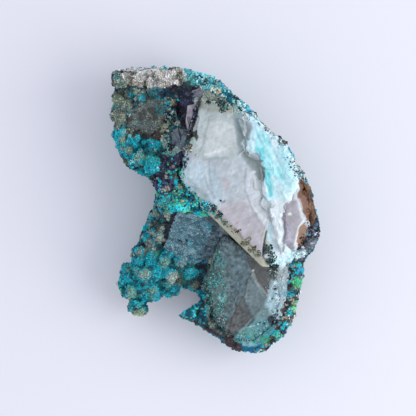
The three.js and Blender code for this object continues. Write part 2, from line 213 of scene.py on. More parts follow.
def covers(marks, points, size=1.0, seed=70):
    """For each mark in turn, its share at each point, with the mark's edge made to wander by noise."""
    sway = np.stack([noise(points, size, seed), noise(points, size, seed + 1)], axis=1)
    sway += 0.5 * np.stack([noise(points, size / 3, seed + 2), noise(points, size / 3, seed + 3)], axis=1)
    plan = to_plan(points)
    for mark in marks:
        depth = -mark.distance(plan + mark.wander * sway)
        yield mark.amount * smooth_step(depth, -mark.soft / 2, mark.soft / 2)


def paint(tint, points, marks):
    for mark, share in zip(marks, covers(marks, points)):
        tint = tint * (1 - share[:, None]) + mark.colour * share[:, None]
    return tint


# Meshes from arrays
def mesh_object(name, points, faces, tint=None):
    """A mesh of points in millimetres and faces of one size, with a colour for each point."""
    faces = np.asarray(faces)
    mesh = bpy.data.meshes.new(name)
    mesh.vertices.add(len(points))
    mesh.vertices.foreach_set("co", (np.asarray(points) * MM).astype(np.float32).ravel())
    mesh.loops.add(faces.size)
    mesh.loops.foreach_set("vertex_index", faces.astype(np.int32).ravel())
    mesh.polygons.add(len(faces))
    mesh.polygons.foreach_set("loop_start", np.arange(0, faces.size, faces.shape[1], dtype=np.int32))
    mesh.update(calc_edges=True)
    piece = bpy.data.objects.new(name, mesh)
    bpy.context.scene.collection.objects.link(piece)
    if tint is not None:
        set_tint(piece, tint)
    return piece


def set_tint(piece, tint):
    attribute = piece.data.attributes.new("tint", "FLOAT_COLOR", "POINT")
    colours = np.column_stack([np.clip(tint, 0, 1), np.ones(len(tint))])
    attribute.data.foreach_set("color", colours.astype(np.float32).ravel())


def mesh_points(piece):
    points = np.empty(len(piece.data.vertices) * 3)
    piece.data.vertices.foreach_get("co", points)
    return points.reshape(-1, 3) / MM


def mesh_normals(piece):
    normals = np.empty(len(piece.data.vertices) * 3)
    piece.data.vertex_normals.foreach_get("vector", normals)
    return normals.reshape(-1, 3)


def move_points(piece, points):
    piece.data.vertices.foreach_set("co", (points * MM).astype(np.float32).ravel())
    piece.data.update()


def reshape(piece, points, tint):
    """Gives a piece new places for its points, their colours and smooth shading."""
    move_points(piece, points)
    set_tint(piece, tint)
    piece.data.polygons.foreach_set("use_smooth", np.ones(len(piece.data.polygons), bool))
    piece.data.update()


def remeshed(piece, voxel):
    """Gives a piece a fine and even mesh over its own shape."""
    modifier = piece.modifiers.new("fine", "REMESH")
    modifier.mode = "VOXEL"
    modifier.voxel_size = voxel * MM
    graph = bpy.context.evaluated_depsgraph_get()
    fine = bpy.data.meshes.new_from_object(piece.evaluated_get(graph))
    piece.modifiers.clear()
    piece.data = fine
    return piece


def dense_copy(node, name, voxel):
    """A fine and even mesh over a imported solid."""
    piece = bpy.data.objects.new(name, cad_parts[node].data.copy())
    piece.data.materials.clear()
    bpy.context.scene.collection.objects.link(piece)
    return remeshed(piece, voxel)


def relax(piece, rounds, amount=0.5):
    """Rounds off a mesh by moving each point towards the mean of its neighbours."""
    edges = np.empty(len(piece.data.edges) * 2, np.int32)
    piece.data.edges.foreach_get("vertices", edges)
    ends = edges.reshape(-1, 2)
    points = mesh_points(piece)
    count = np.bincount(ends.ravel(), minlength=len(points))[:, None]
    for _ in range(rounds):
        total = np.zeros_like(points)
        for axis in range(3):
            total[:, axis] += np.bincount(ends[:, 0], points[ends[:, 1], axis], len(points))
            total[:, axis] += np.bincount(ends[:, 1], points[ends[:, 0], axis], len(points))
        points += amount * (total / count - points)
    move_points(piece, points)


# Colours of the crust
TURQUOISE = (10, 170, 186)
BRIGHT_TURQUOISE = (70, 212, 218)
PALE_TURQUOISE = (160, 224, 222)
DEEP_TEAL = (8, 104, 122)
DARK_TEAL = (16, 62, 76)
GREEN = (66, 166, 136)
BRIGHT_GREEN = (92, 190, 146)
BEIGE = (202, 200, 180)
OLIVE = (146, 156, 132)
BLACK_BLUE = (26, 30, 44)
PURPLE_BLUE = (62, 68, 96)
GREY_BLUE = (106, 140, 152)
GREY_BROWN = (116, 118, 110)
BROWN = (96, 76, 62)
SEAT_GREY = (120, 126, 124)


# Regions of the crust as seen from above. A point belongs to the region whose outline it is deepest in.
class Region:
    """Colours and shares of its grains, their radius, cover and shape, and the height of its lumps."""

    def __init__(self, grains, radius, cover, lump, shape, outline=()):
        self.outline = outline
        self.colours = linear([colour for colour, _ in grains])
        shares = np.array([share for _, share in grains], float)
        self.steps = np.cumsum(shares / shares.sum())
        self.radius = radius
        self.cover = cover
        self.lump = lump
        self.crystal = shape == "crystal"


REGIONS = {
    "head_sugar": Region(
        [((236, 236, 234), 6), ((210, 208, 200), 5), ((172, 170, 158), 4), (OLIVE, 0.8),
         ((84, 104, 104), 0.4)],
        radius=0.16, cover=1.5, lump=0.3, shape="crystal",
        outline=[(117, 74), (122, 67), (150, 63), (172, 65), (184, 71), (186, 77), (176, 83), (164, 87),
         (150, 89), (136, 87), (126, 83)],
    ),
    "head_left": Region(
        [((140, 156, 142), 4), ((180, 184, 168), 1.4), ((104, 124, 116), 3), ((56, 124, 132), 3),
         (DARK_TEAL, 2.4), (TURQUOISE, 0.9)],
        radius=0.18, cover=1.35, lump=0.6, shape="crystal",
        outline=[(113, 73), (122, 70), (125, 84), (146, 85), (162, 88), (164, 95), (148, 98), (138, 102),
         (130, 112), (127, 124), (118, 128), (108, 120), (108, 100)],
    ),
    "head_recess": Region(
        [((112, 124, 120), 6), ((134, 146, 142), 4), (OLIVE, 1), ((84, 90, 84), 3), ((60, 140, 148), 1.6)],
        radius=0.14, cover=1.3, lump=0.12, shape="crystal",
        outline=[(131, 108), (142, 102), (156, 99), (163, 104), (162, 116), (160, 126), (150, 131),
         (138, 130), (130, 124)],
    ),
    "recess_edge": Region(
        [((70, 62, 50), 5), (BLACK_BLUE, 3), (OLIVE, 1.5), (DARK_TEAL, 2)],
        radius=0.19, cover=0.8, lump=0.3, shape="nugget",
        outline=[(128, 127), (136, 133), (150, 135), (163, 129), (166, 118), (169, 122), (165, 134),
         (152, 139), (136, 137), (127, 131)],
    ),
    "head_turquoise": Region(
        [(TURQUOISE, 7), ((44, 186, 198), 3.6), (PALE_TURQUOISE, 0.5), (DEEP_TEAL, 1.5), (OLIVE, 0.6),
         (GREEN, 0.5)],
        radius=0.15, cover=1.45, lump=1.0, shape="crystal",
        outline=[(116, 132), (126, 130), (134, 136), (152, 139), (160, 142), (161, 152), (160, 164),
         (152, 172), (140, 174), (128, 168), (118, 156)],
    ),
    "head_dark_band": Region(
        [(BLACK_BLUE, 8), (PURPLE_BLUE, 3), (DARK_TEAL, 2), ((96, 84, 84), 1)],
        radius=0.21, cover=1.3, lump=0.25, shape="nugget",
        outline=[(161, 92), (172, 88), (188, 85), (198, 88), (198, 93), (188, 96), (176, 97), (166, 98),
         (160, 97)],
    ),
    "head_dark_mass": Region(
        [(BLACK_BLUE, 7), ((66, 58, 72), 4), (PURPLE_BLUE, 1.5), (DARK_TEAL, 1.5)],
        radius=0.2, cover=1.2, lump=0.2, shape="nugget",
        outline=[(177, 103), (184, 99), (190, 99), (188, 108), (186, 120), (184, 127), (179, 121),
         (176, 112)],
    ),
    "head_inner": Region(
        [((134, 158, 148), 3), ((84, 144, 148), 3), (BEIGE, 1), (TURQUOISE, 2), (BLACK_BLUE, 1.4),
         (DARK_TEAL, 2)],
        radius=0.18, cover=1.35, lump=0.6, shape="crystal",
        outline=[(163, 99), (176, 98), (175, 112), (179, 122), (174, 132), (170, 142), (178, 152),
         (172, 158), (162, 152), (162, 140), (167, 126), (166, 110)],
    ),
    "head_grey_facet": Region(
        [((88, 106, 116), 6), ((64, 80, 92), 3), (GREY_BLUE, 2)],
        radius=0.14, cover=0.35, lump=0.05, shape="crystal",
        outline=[(173, 133), (177, 128), (184, 130), (186, 140), (184, 148), (178, 147), (173, 140)],
    ),
    "neck_dark": Region(
        [(BLACK_BLUE, 6), (PURPLE_BLUE, 4), (TURQUOISE, 1), (GREEN, 1), ((120, 110, 112), 0.8)],
        radius=0.22, cover=1.3, lump=0.35, shape="nugget",
        outline=[(163, 158), (174, 154), (186, 154), (188, 160), (180, 168), (170, 171), (162, 168)],
    ),
    "neck_purple": Region(
        [(PURPLE_BLUE, 4), ((88, 94, 120), 2), (BLACK_BLUE, 3), (TURQUOISE, 1.4), ((150, 150, 140), 1)],
        radius=0.19, cover=1.4, lump=0.6, shape="nugget",
        outline=[(158, 175), (168, 173), (176, 180), (174, 189), (164, 190), (157, 183)],
    ),
    "neck": Region(
        [(TURQUOISE, 4), (GREEN, 3), (BRIGHT_TURQUOISE, 2), (BRIGHT_GREEN, 1.4), (DEEP_TEAL, 2),
         (OLIVE, 0.8), (PURPLE_BLUE, 1.2), (BLACK_BLUE, 0.8)],
        radius=0.2, cover=1.35, lump=0.5, shape="nugget",
        outline=[(172, 172), (184, 166), (183, 180), (190, 194), (200, 200), (214, 208), (213, 216),
         (196, 213), (178, 209), (170, 214), (160, 208), (156, 194), (168, 196), (178, 190)],
    ),
    "leg_crest": Region(
        [((146, 156, 138), 3), ((120, 132, 124), 2), ((92, 142, 148), 3), (DEEP_TEAL, 2.2), (TURQUOISE, 2.2),
         (DARK_TEAL, 1.3)],
        radius=0.16, cover=1.4, lump=0.8, shape="crystal",
        outline=[(158, 203), (170, 212), (169, 222), (165, 236), (160, 250), (146, 254), (134, 258),
         (132, 246), (142, 226), (150, 208)],
    ),
    # Painted shade: the crack between the leg and the centre face is painted near-black
    "leg_crevice": Region(
        [(BLACK_BLUE, 6), ((18, 34, 44), 4)],
        radius=0.16, cover=0.6, lump=0.3, shape="nugget",
        outline=[(171, 212), (177, 214), (173, 228), (169, 240), (163, 248), (159, 244), (166, 226)],
    ),
    "leg_turquoise": Region(
        [(TURQUOISE, 7), ((40, 182, 192), 2), (DEEP_TEAL, 3.4), ((96, 152, 140), 1.4), (GREEN, 0.5)],
        radius=0.15, cover=1.45, lump=1.05, shape="crystal",
        outline=[(136, 257), (150, 254), (164, 248), (172, 254), (184, 262), (196, 272), (196, 286),
         (182, 300), (160, 305), (142, 318), (128, 312), (116, 292), (118, 274)],
    ),
    "centre_face": Region(
        [((118, 164, 178), 6), ((150, 190, 200), 3), ((84, 124, 140), 3.4), (TURQUOISE, 1.0),
         (BLACK_BLUE, 0.5)],
        radius=0.12, cover=1.25, lump=0.05, shape="crystal",
        outline=[(174, 216), (190, 212), (206, 216), (212, 226), (208, 244), (202, 258), (194, 262),
         (184, 262), (174, 256), (165, 248), (170, 232)],
    ),
    "centre_dark": Region(
        [((84, 108, 120), 6), ((108, 136, 148), 3), ((58, 78, 90), 3), (TURQUOISE, 0.3)],
        radius=0.12, cover=0.9, lump=0.03, shape="crystal",
        outline=[(206, 214), (214, 218), (222, 230), (218, 242), (212, 256), (206, 262), (204, 250),
         (210, 238), (212, 226)],
    ),
    # The valley's teal is the crust's own colour; its near-black grains are painted shade in the valley
    "valley": Region(
        [(BLACK_BLUE, 4), (DARK_TEAL, 4), (DEEP_TEAL, 1.6)],
        radius=0.2, cover=0.8, lump=0.3, shape="nugget",
        outline=[(196, 264), (202, 258), (206, 262), (203, 276), (200, 288), (196, 286), (198, 274)],
    ),
    "smoky_margin": Region(
        [((94, 114, 112), 5), ((126, 138, 128), 2), ((70, 166, 168), 1.4), (DARK_TEAL, 2), (DEEP_TEAL, 1.2),
         (OLIVE, 0.8)],
        radius=0.15, cover=1.3, lump=0.3, shape="crystal",
        outline=[(209, 262), (217, 249), (223, 240), (224, 258), (216, 290), (214, 318), (228, 336),
         (222, 337), (208, 328), (204, 314), (204, 296), (206, 276)],
    ),
    "flange": Region(
        [(TURQUOISE, 4), (DEEP_TEAL, 5), (BRIGHT_TURQUOISE, 0.5), (DARK_TEAL, 3), (OLIVE, 0.8)],
        radius=0.17, cover=1.3, lump=0.5, shape="crystal",
        outline=[(180, 316), (196, 304), (202, 292), (206, 300), (206, 316), (204, 322), (194, 321),
         (184, 320)],
    ),
    "flange_edge": Region(
        [((78, 64, 68), 5), ((60, 48, 54), 3), (BROWN, 1.6), (BLACK_BLUE, 1.6), (DEEP_TEAL, 1)],
        radius=0.17, cover=1.1, lump=0.15, shape="crystal",
        outline=[(184, 321), (196, 322), (206, 326), (220, 333), (234, 341), (246, 350), (256, 355),
         (252, 357), (236, 349), (218, 339), (202, 331), (190, 326)],
    ),
    "lower_green": Region(
        [((92, 150, 158), 5), ((128, 178, 184), 3), (GREEN, 1.6), (TURQUOISE, 1.6), (BLACK_BLUE, 0.8)],
        radius=0.17, cover=0.5, lump=0.12, shape="crystal",
        outline=[(232, 342), (244, 334), (258, 326), (270, 322), (276, 330), (268, 342), (256, 349),
         (244, 347)],
    ),
    "lower_rim": Region(
        [((74, 66, 64), 4), (BLACK_BLUE, 3), ((146, 138, 124), 2), ((204, 208, 204), 1.2), (GREEN, 1.2),
         (TURQUOISE, 1.8), ((60, 144, 156), 1.8)],
        radius=0.19, cover=1.5, lump=0.3, shape="nugget",
        outline=[(290, 258), (298, 258), (296, 272), (298, 292), (292, 312), (284, 328), (274, 344),
         (262, 354), (254, 351), (266, 342), (276, 328), (284, 310), (288, 290), (288, 270)],
    ),
    "white_band": Region(
        [((222, 244, 249), 6), ((176, 214, 225), 3), ((98, 122, 132), 1), (BLACK_BLUE, 0.5)],
        radius=0.14, cover=0.7, lump=0.05, shape="crystal",
        outline=[(274, 256), (286, 256), (288, 272), (286, 296), (284, 316), (274, 320), (266, 312),
         (270, 296), (276, 284), (274, 268)],
    ),
    "right_rim": Region(
        [(BLACK_BLUE, 6), ((96, 102, 118), 4), (GREY_BLUE, 1.4), (DARK_TEAL, 0.8), (BROWN, 0.5),
         (TURQUOISE, 0.4), ((196, 206, 212), 0.7)],
        radius=0.2, cover=1.5, lump=0.3, shape="nugget",
        outline=[(300, 168), (306, 172), (313, 192), (318, 214), (320, 232), (314, 250), (304, 260),
         (294, 262), (298, 256), (310, 240), (316, 224), (316, 206), (309, 184), (303, 174)],
    ),
    "brown_rim": Region(
        [((124, 88, 60), 5), ((98, 68, 46), 4), ((70, 52, 42), 2)],
        radius=0.13, cover=0.3, lump=0.05, shape="crystal",
        outline=[(302, 178), (307, 184), (313, 200), (315, 212), (311, 221), (307, 206), (301, 186)],
    ),
    "silky_margin": Region(
        [((214, 236, 240), 6), ((160, 222, 232), 3), ((86, 82, 78), 1.5), (BLACK_BLUE, 1.3),
         ((64, 170, 196), 0.8)],
        radius=0.15, cover=0.9, lump=0.2, shape="crystal",
        outline=[(248, 104), (262, 114), (278, 126), (292, 138), (300, 152), (308, 172), (306, 182),
         (298, 180), (284, 156), (262, 134), (246, 121)],
    ),
    "under_bevel": Region(
        [((88, 104, 108), 5), ((112, 126, 128), 2), ((60, 74, 78), 2)],
        radius=0.13, cover=0.3, lump=0.03, shape="crystal",
        outline=[(214, 224), (222, 228), (244, 249), (262, 266), (276, 268), (276, 280), (258, 270),
         (236, 252), (220, 240)],
    ),
    "top_margin": Region(
        [((184, 194, 180), 6), ((150, 170, 162), 3), (PALE_TURQUOISE, 1.5), ((96, 150, 156), 1.2),
         (BLACK_BLUE, 0.6)],
        radius=0.13, cover=1.2, lump=0.12, shape="crystal",
        outline=[(199, 93), (208, 92), (222, 97), (236, 104), (243, 111), (238, 112), (229, 107), (214, 103),
         (200, 99)],
    ),
    "top_rim": Region(
        [((72, 162, 174), 4), ((120, 196, 200), 4), ((184, 222, 218), 3), (DEEP_TEAL, 2), (BLACK_BLUE, 1.6),
         ((34, 60, 84), 1.4), (BEIGE, 1)],
        radius=0.18, cover=1.4, lump=0.5, shape="nugget",
        outline=[(188, 72), (200, 74), (216, 80), (232, 90), (246, 102), (248, 112), (240, 112), (224, 100),
         (208, 92), (196, 86)],
    ),
}
FLANK = Region(
    [(TURQUOISE, 4), (DEEP_TEAL, 3), (DARK_TEAL, 2), (OLIVE, 1.4), (GREEN, 1.2), (BRIGHT_TURQUOISE, 1.2),
     (BLACK_BLUE, 1.2), (GREY_BROWN, 0.8)],
    radius=0.27, cover=1.1, lump=0.5, shape="nugget",
)
DARK_FLANK = Region(
    [(BLACK_BLUE, 4), (PURPLE_BLUE, 2), (BROWN, 1.6), (GREY_BROWN, 1.6), (DARK_TEAL, 1.4), (DEEP_TEAL, 0.8)],
    radius=0.25, cover=1.0, lump=0.35, shape="nugget",
)
BASE_FACE = Region(
    [(GREY_BROWN, 4), (BROWN, 2), (OLIVE, 1)],
    radius=0.3, cover=0.0, lump=0.1, shape="nugget",
)
SEAT = Region(
    [(SEAT_GREY, 4), ((150, 160, 158), 2), (GREY_BLUE, 1)],
    radius=0.2, cover=0.0, lump=0.0, shape="nugget",
)
ALL_REGIONS = [*REGIONS.values(), FLANK, DARK_FLANK, BASE_FACE, SEAT]
REGION_WANDER = 2.6           # pixels that the region borders wander
FLANK_TURN = -0.05            # a surface that looks up less than this is flank
BASE_LEVEL = 0.25             # the broken base face lies below this height
FLANK_BELOW = 5.0             # lower than this the crust is all flank
WALL_START = -2.0             # right of this the rock stands up as a wall
WALL_TURN = 0.3               # a wall looks up less than this
WALL_FOOT = 10.5              # below about this height a wall is flank
CAP_FOOT = 10.0               # on walls the caps end at about this height
FOOT_SWAY = 3.5
DARK_LAYER = 0.12             # layers of the flank whose noise is above this are dark
DOWNWARD = -0.9               # a surface that looks down more than this is part of the base

# Outlines of the two crystals, and the height of the seat that each has in the rock
SLAB = [(197, 98), (229, 105), (255, 121.5), (286, 148), (301, 177), (309, 204), (309.5, 225), (303, 244),
    (280, 267), (264, 263), (213, 212.5), (181, 180), (187, 145)]
SMOKY = [(224, 237), (258, 261), (273, 272), (278, 301), (271, 325), (252, 340), (231, 338), (214, 325),
    (206, 306), (209, 279), (216, 251)]
SEATS = [(SLAB, 13.2), (SMOKY, 6.4)]
STRAIGHT_EDGE = [(213, 212.5), (264, 263)]

# The silky sheet's ledge, as it is in the solid and with the finer outline that the photograph shows
SHEET = [(238, 119), (248, 144), (246, 154), (260, 163), (264, 196), (261, 204), (271, 214), (274, 227),
    (282, 253), (286, 234), (284, 206), (290, 200), (292, 185), (291, 168), (278, 147), (257, 129)]
SHEET_SEEN = [(246, 112), (250, 128), (247, 140), (246, 148), (250, 154), (258, 153), (262, 163), (265, 169),
    (264, 180), (261, 193), (270, 201), (271, 214), (274, 227), (279, 253), (283, 234), (283, 206),
    (290, 200), (294, 188), (293, 168), (282, 144), (262, 122)]

# Small caps and beads of the crust, and dark spots that are painted shade for its holes
CAPS = [
    Spot((172, 180, 158), 5, 0.7, (145, 275), 5.0, 2.0),
    Spot((184, 188, 172), 5, 0.75, (174, 279), 6.5, 2.0),
    Spot((130, 170, 150), 4, 0.7, (165, 263), 5.0),
    Spot((150, 160, 156), 3, 0.6, (182, 264), 4.5),
    Spot((60, 196, 210), 2, 0.8, (189, 268), 4.0),
    Spot((140, 170, 146), 4, 0.6, (131, 293), 5.0),
    Spot((160, 178, 146), 4, 0.8, (138, 315), 7.0, 2.0),
    Spot((150, 168, 132), 3, 0.8, (172, 301), 5.0),
    Spot((140, 170, 150), 3, 0.6, (153, 292), 4.0),
    Spot((132, 124, 96), 3, 0.7, (194, 285), 4.5),
    Spot((176, 174, 156), 3, 0.6, (160, 228), 3.6, 2.0),
    Spot((172, 172, 152), 3, 0.6, (160, 238), 3.6, 2.0),
    Spot((160, 160, 144), 3, 0.6, (149, 243), 4.5, 2.0),
    Spot((206, 206, 190), 2, 0.7, (154, 247), 2.6),
    Spot((178, 180, 156), 3, 0.6, (167, 215), 3.2),
    Spot((70, 164, 160), 4, 0.7, (166, 203), 6.0),
    # Painted shade: dark spots for the holes between the leg's lumps
    Spot((34, 60, 66), 3, 0.8, (151, 269), 3.0),
    Spot((24, 40, 46), 2, 0.8, (173, 262), 2.6),
    Spot((20, 44, 50), 3, 0.8, (142, 285), 3.0),
    Spot((20, 40, 46), 2, 0.8, (139, 300), 2.4),
    Spot((20, 40, 46), 2, 0.8, (149, 301), 2.4),
    Spot((40, 190, 200), 1, 0.9, (166, 69), 1.6),
    Spot((30, 150, 160), 1, 0.9, (116, 78), 1.6),
    Spot((80, 170, 168), 5, 0.8, (190, 80), 6.0),
    Spot((180, 178, 140), 2, 0.8, (173, 103), 3.0),
    Spot((178, 180, 130), 3, 0.7, (123, 140), 3.6),
    Spot((160, 176, 140), 3, 0.7, (129, 150), 3.6),
    Spot((174, 184, 150), 3, 0.7, (138, 157), 3.6),
    Spot((120, 130, 84), 3, 0.8, (124, 163), 4.6),
    Spot((70, 196, 190), 2, 0.8, (154, 158), 4.6),
    Spot((60, 190, 196), 2, 0.8, (157, 97), 3.0),
    Spot((140, 150, 126), 4, 0.6, (118, 100), 6.0),
    Spot((150, 158, 132), 4, 0.6, (119, 118), 6.0),
    Spot((40, 150, 200), 2, 0.85, (262, 106), 3.0),
    Spot((70, 176, 204), 3, 0.9, (291, 147), 5.6),
    Spot((40, 150, 180), 2, 0.9, (300, 271), 4.0),
    Spot((70, 180, 130), 3, 0.9, (297, 282), 5.0),
    Spot((130, 200, 150), 3, 0.8, (295, 307), 4.6),
    Spot((30, 60, 84), 1, 0.9, (288, 321), 2.4),
    Spot((30, 50, 74), 1, 0.9, (284, 331), 2.0),
    Spot((60, 160, 120), 3, 0.8, (266, 340), 4.0),
    Patch((14, 118, 156), 2, 0.9, [(244, 347), (254, 347), (262, 345), (262, 349), (250, 353), (243, 350)]),
    Patch((236, 250, 252), 3, 0.9, [(273, 256), (288, 254), (289, 276), (283, 285), (276, 277)]),
    Patch((206, 236, 242), 3, 0.9, [(289, 252), (304, 249), (307, 253), (300, 258), (288, 263)]),
    Patch((116, 124, 130), 3, 0.5, [(304, 240), (314, 236), (316, 246), (308, 252), (302, 250)]),
    Stroke((30, 146, 164), 2.2, 0.85, [(186, 325), (198, 330), (210, 334), (224, 341)]),
    Spot((90, 180, 150), 3, 0.8, (278, 336), 3.6),
    Spot((70, 180, 190), 3, 0.8, (208, 208), 4.0),
    Spot((60, 170, 176), 3, 0.7, (316, 252), 3.0),
]


def region_of(points, normals):
    """The number of the region that each point of the crust belongs to."""
    sway = np.stack([noise(points, 1.4, 11), noise(points, 1.4, 12)], axis=1)
    plan = to_plan(points) + REGION_WANDER * sway
    depth = np.stack([outline_distance(region.outline, plan) for region in REGIONS.values()])
    found = np.argmin(depth, axis=0)
    steep = normals[:, 2] + 0.15 * noise(points, 2.2, 14) < FLANK_TURN
    wall = (points[:, 0] > WALL_START) & (normals[:, 2] < WALL_TURN)
    wall &= points[:, 2] < WALL_FOOT + FOOT_SWAY * fractal(points, 4.0, 18)
    layered = fractal(points * (1, 1, 2.2), 5.0, 17) > DARK_LAYER
    flank = np.where(layered, ALL_REGIONS.index(DARK_FLANK), ALL_REGIONS.index(FLANK))
    found = np.where(steep | wall | (points[:, 2] < FLANK_BELOW), flank, found)
    bottom = (points[:, 2] < BASE_LEVEL) | (normals[:, 2] < DOWNWARD)
    return np.where(bottom, ALL_REGIONS.index(BASE_FACE), found)


def seated(points, margin):
    """Whether each point is above a crystal's seat and inside its outline by more than margin pixels."""
    plan, height = to_plan(points), points[:, 2]
    inside = [(outline_distance(outline, plan) < -margin) & (height > level) for outline, level in SEATS]
    return np.any(inside, axis=0)


def of_region(found, key):
    return np.array([getattr(region, key) for region in ALL_REGIONS])[found]


def crust_colours(points, found, pick):
    """A colour of each point's region, which pick chooses from 0 to 1, with the caps painted over it."""
    colours = np.zeros((len(points), 3))
    for number, region in enumerate(ALL_REGIONS):
        here = found == number
        chosen = np.searchsorted(region.steps, pick[here])
        colours[here] = region.colours[np.minimum(chosen, len(region.steps) - 1)]
    foot = np.where(points[:, 0] < WALL_START, FLANK_BELOW, CAP_FOOT + 3.0 * noise(points, 2.0, 19))
    above = points[:, 2] > foot
    colours[above] = paint(colours[above], points[above], CAPS)
    return colours


WIDE_PATCH = 1.5              # sizes of the patches of one colour, and the share of the wide ones
NARROW_PATCH = 0.7
PATCH_CELL = 0.9
WIDE_SHARE = 0.55
BIG_LUMP = 2.3                # spacing of the botryoidal lumps, and how much the small ones count
SMALL_LUMP = 1.05
SMALL_LUMP_SHARE = 0.5


def patch_number(points):
    """A number from 0 to 1 that is shared by neighbouring points, in patches of two sizes."""
    wide, narrow = balls(points, WIDE_PATCH, 61)[1], balls(points, NARROW_PATCH, 66)[1]
    return np.where(lattice(np.floor(points / PATCH_CELL).astype(np.int64), 65) < WIDE_SHARE, wide, narrow)


def lump_height(points):
    """Height of the botryoidal lumps from 0 to 1: big ones that carry small ones."""
    big, small = domes(points, BIG_LUMP, 21, 0.68), domes(points, SMALL_LUMP, 25, 0.75)
    return (big + SMALL_LUMP_SHARE * small) / (1 + SMALL_LUMP_SHARE)


# The rock under the grains
LUMP_RISE = 1.5               # how far a lump of height 1 stands out
LUMP_MEAN = 0.5
FULL_LUMP = 0.3               # lumps of this height or more have painted shade in the gaps between them
FINE_RELIEF = 0.09
GROUND_SHADE = 0.45           # how dark the ground is where grains cover it
BARE_COVER = 0.5              # with a cover of this or less the ground keeps its colour
SEAT_SHADE = 0.9
ROCK_INSET = 1.5              # how far inside a crystal's outline the bare seat begins, in pixels
GRAIN_INSET = 1.0             # how far inside it the grains of the rock end


def rock_colours(points, found, lump):
    """Ground colours, with painted shade between the lumps and under the grains and painted light on the
    lumps' tops.
    """
    tint = crust_colours(points, found, patch_number(points))
    ground = np.interp(of_region(found, "cover"), (BARE_COVER, 1.0), (1.0, GROUND_SHADE))
    relief = np.minimum(of_region(found, "lump") / FULL_LUMP, 1)
    # Painted shade between the lumps and painted light on their tops
    gap_shade = 0.7 - 0.85 * smooth_step(lump, 0.1, 0.7)
    shade = ground * (1 - relief * gap_shade) * (1 + 0.3 * fractal(points, 0.6, 41))
    shade[seated(points, ROCK_INSET)] = SEAT_SHADE
    tint *= shade[:, None]
    high = points[:, 2] > FLANK_BELOW
    tint[high] = paint(tint[high], points[high], CLUMP_GROUND)
    return tint


def build_rock():
    """The rock, and the height of its lumps at each of its points."""
    rock = dense_copy("matrix", "crusted_rock", ROCK_VOXEL)
    relax(rock, 3)
    points, normals = mesh_points(rock), mesh_normals(rock)
    found = region_of(points, normals)
    found[seated(points, ROCK_INSET) & (normals[:, 2] > 0)] = ALL_REGIONS.index(SEAT)
    lump = lump_height(points)
    height = LUMP_RISE * of_region(found, "lump") * (lump - LUMP_MEAN)
    height += FINE_RELIEF * fractal(points, 1.0, 31)
    height *= smooth_step(points[:, 2], 0.0, 1.0)
    tint = rock_colours(points, found, lump)
    points = points + normals * height[:, None]
    points[:, 2] = np.maximum(points[:, 2], 0)
    reshape(rock, points, tint)
    return rock, lump


# Grain shapes
def triangles_round(corners, most):
    """The outward triangles that join corners no further apart than most."""
    faces = []
    for a, b, c in itertools.combinations(range(len(corners)), 3):
        if all(np.linalg.norm(corners[p] - corners[q]) < most for p, q in ((a, b), (b, c), (a, c))):
            outward = np.dot(np.cross(corners[b] - corners[a], corners[c] - corners[a]), corners[a]) > 0
            faces.append((a, b, c) if outward else (a, c, b))
    return np.array(faces)


def icosahedron():
    golden = (1 + 5**0.5) / 2
    corners = [(0, a, b * golden) for a in (-1, 1) for b in (-1, 1)]
    corners += [(a, b * golden, 0) for a in (-1, 1) for b in (-1, 1)]
    corners += [(b * golden, 0, a) for a in (-1, 1) for b in (-1, 1)]
    corners = np.array(corners) / math.hypot(1, golden)
    return corners, triangles_round(corners, 1.1)


def octahedron():
    corners = np.array([(1, 0, 0), (-1, 0, 0), (0, 1, 0), (0, -1, 0), (0, 0, 1), (0, 0, -1)], float)
    return corners, triangles_round(corners, 1.5)


def random_turns(random, count):
    """Turning matrices that are spread evenly over all directions."""
    q = random.normal(size=(count, 4))
    q /= np.linalg.norm(q, axis=1, keepdims=True)
    w, x, y, z = q.T
    rows = [
        [1 - 2 * (y * y + z * z), 2 * (x * y - z * w), 2 * (x * z + y * w)],
        [2 * (x * y + z * w), 1 - 2 * (x * x + z * z), 2 * (y * z - x * w)],
        [2 * (x * z - y * w), 2 * (y * z + x * w), 1 - 2 * (x * x + y * y)],
    ]
    return np.array(rows).transpose(2, 0, 1)


def grain_mesh(name, random, places, radii, colours, shape, jitter):
    """One joined mesh of a grain at each place, with its own turn, size and colour."""
    corners, faces = shape
    count = len(places)
    local = corners[None] * (1 + jitter * random.uniform(-1, 1, (count, len(corners), 1)))
    local = local * random.uniform(*STRETCH, (count, 1, 3))
    turned = np.einsum("nij,nkj->nki", random_turns(random, count), local)
    points = places[:, None] + radii[:, None, None] * turned
    all_faces = faces[None] + (np.arange(count) * len(corners))[:, None, None]
    tint = np.repeat(colours, len(corners), axis=0)
    return mesh_object(name, points.reshape(-1, 3), all_faces.reshape(-1, 3), tint)


def surface_samples(piece, random, per_mm2):
    """Points scattered over a piece's faces, the outward direction at each, and a mesh corner beside each."""
    mesh = piece.data
    mesh.calc_loop_triangles()
    corners = np.empty(len(mesh.loop_triangles) * 3, np.int32)
    mesh.loop_triangles.foreach_get("vertices", corners)
    corners = corners.reshape(-1, 3)
    points = mesh_points(piece)
    a, b, c = (points[corners[:, k]] for k in range(3))
    cross = np.cross(b - a, c - a)
    area = np.linalg.norm(cross, axis=1) / 2
    count = int(area.sum() * per_mm2)
    chosen = random.choice(len(area), count, p=area / area.sum())
    u, v = random.uniform(size=(2, count, 1))
    flip = u + v > 1
    u, v = np.where(flip, 1 - u, u), np.where(flip, 1 - v, v)
    places = a[chosen] + u * (b - a)[chosen] + v * (c - a)[chosen]
    outward = cross[chosen] / (2 * area[chosen][:, None] + 1e-12)
    return places, outward, corners[chosen, 0]


# How many pixels the crust creeps over the edge of a crystal, at each corner of its outline
SLAB_CREEP = [4, 5, 1.5, 1, 2, 2.5, 2.5, 4, 3, 0, 1.5, 3, 3.4]
SMOKY_CREEP = [2.2] * len(SMOKY)
CREEP_SHARE = 0.6

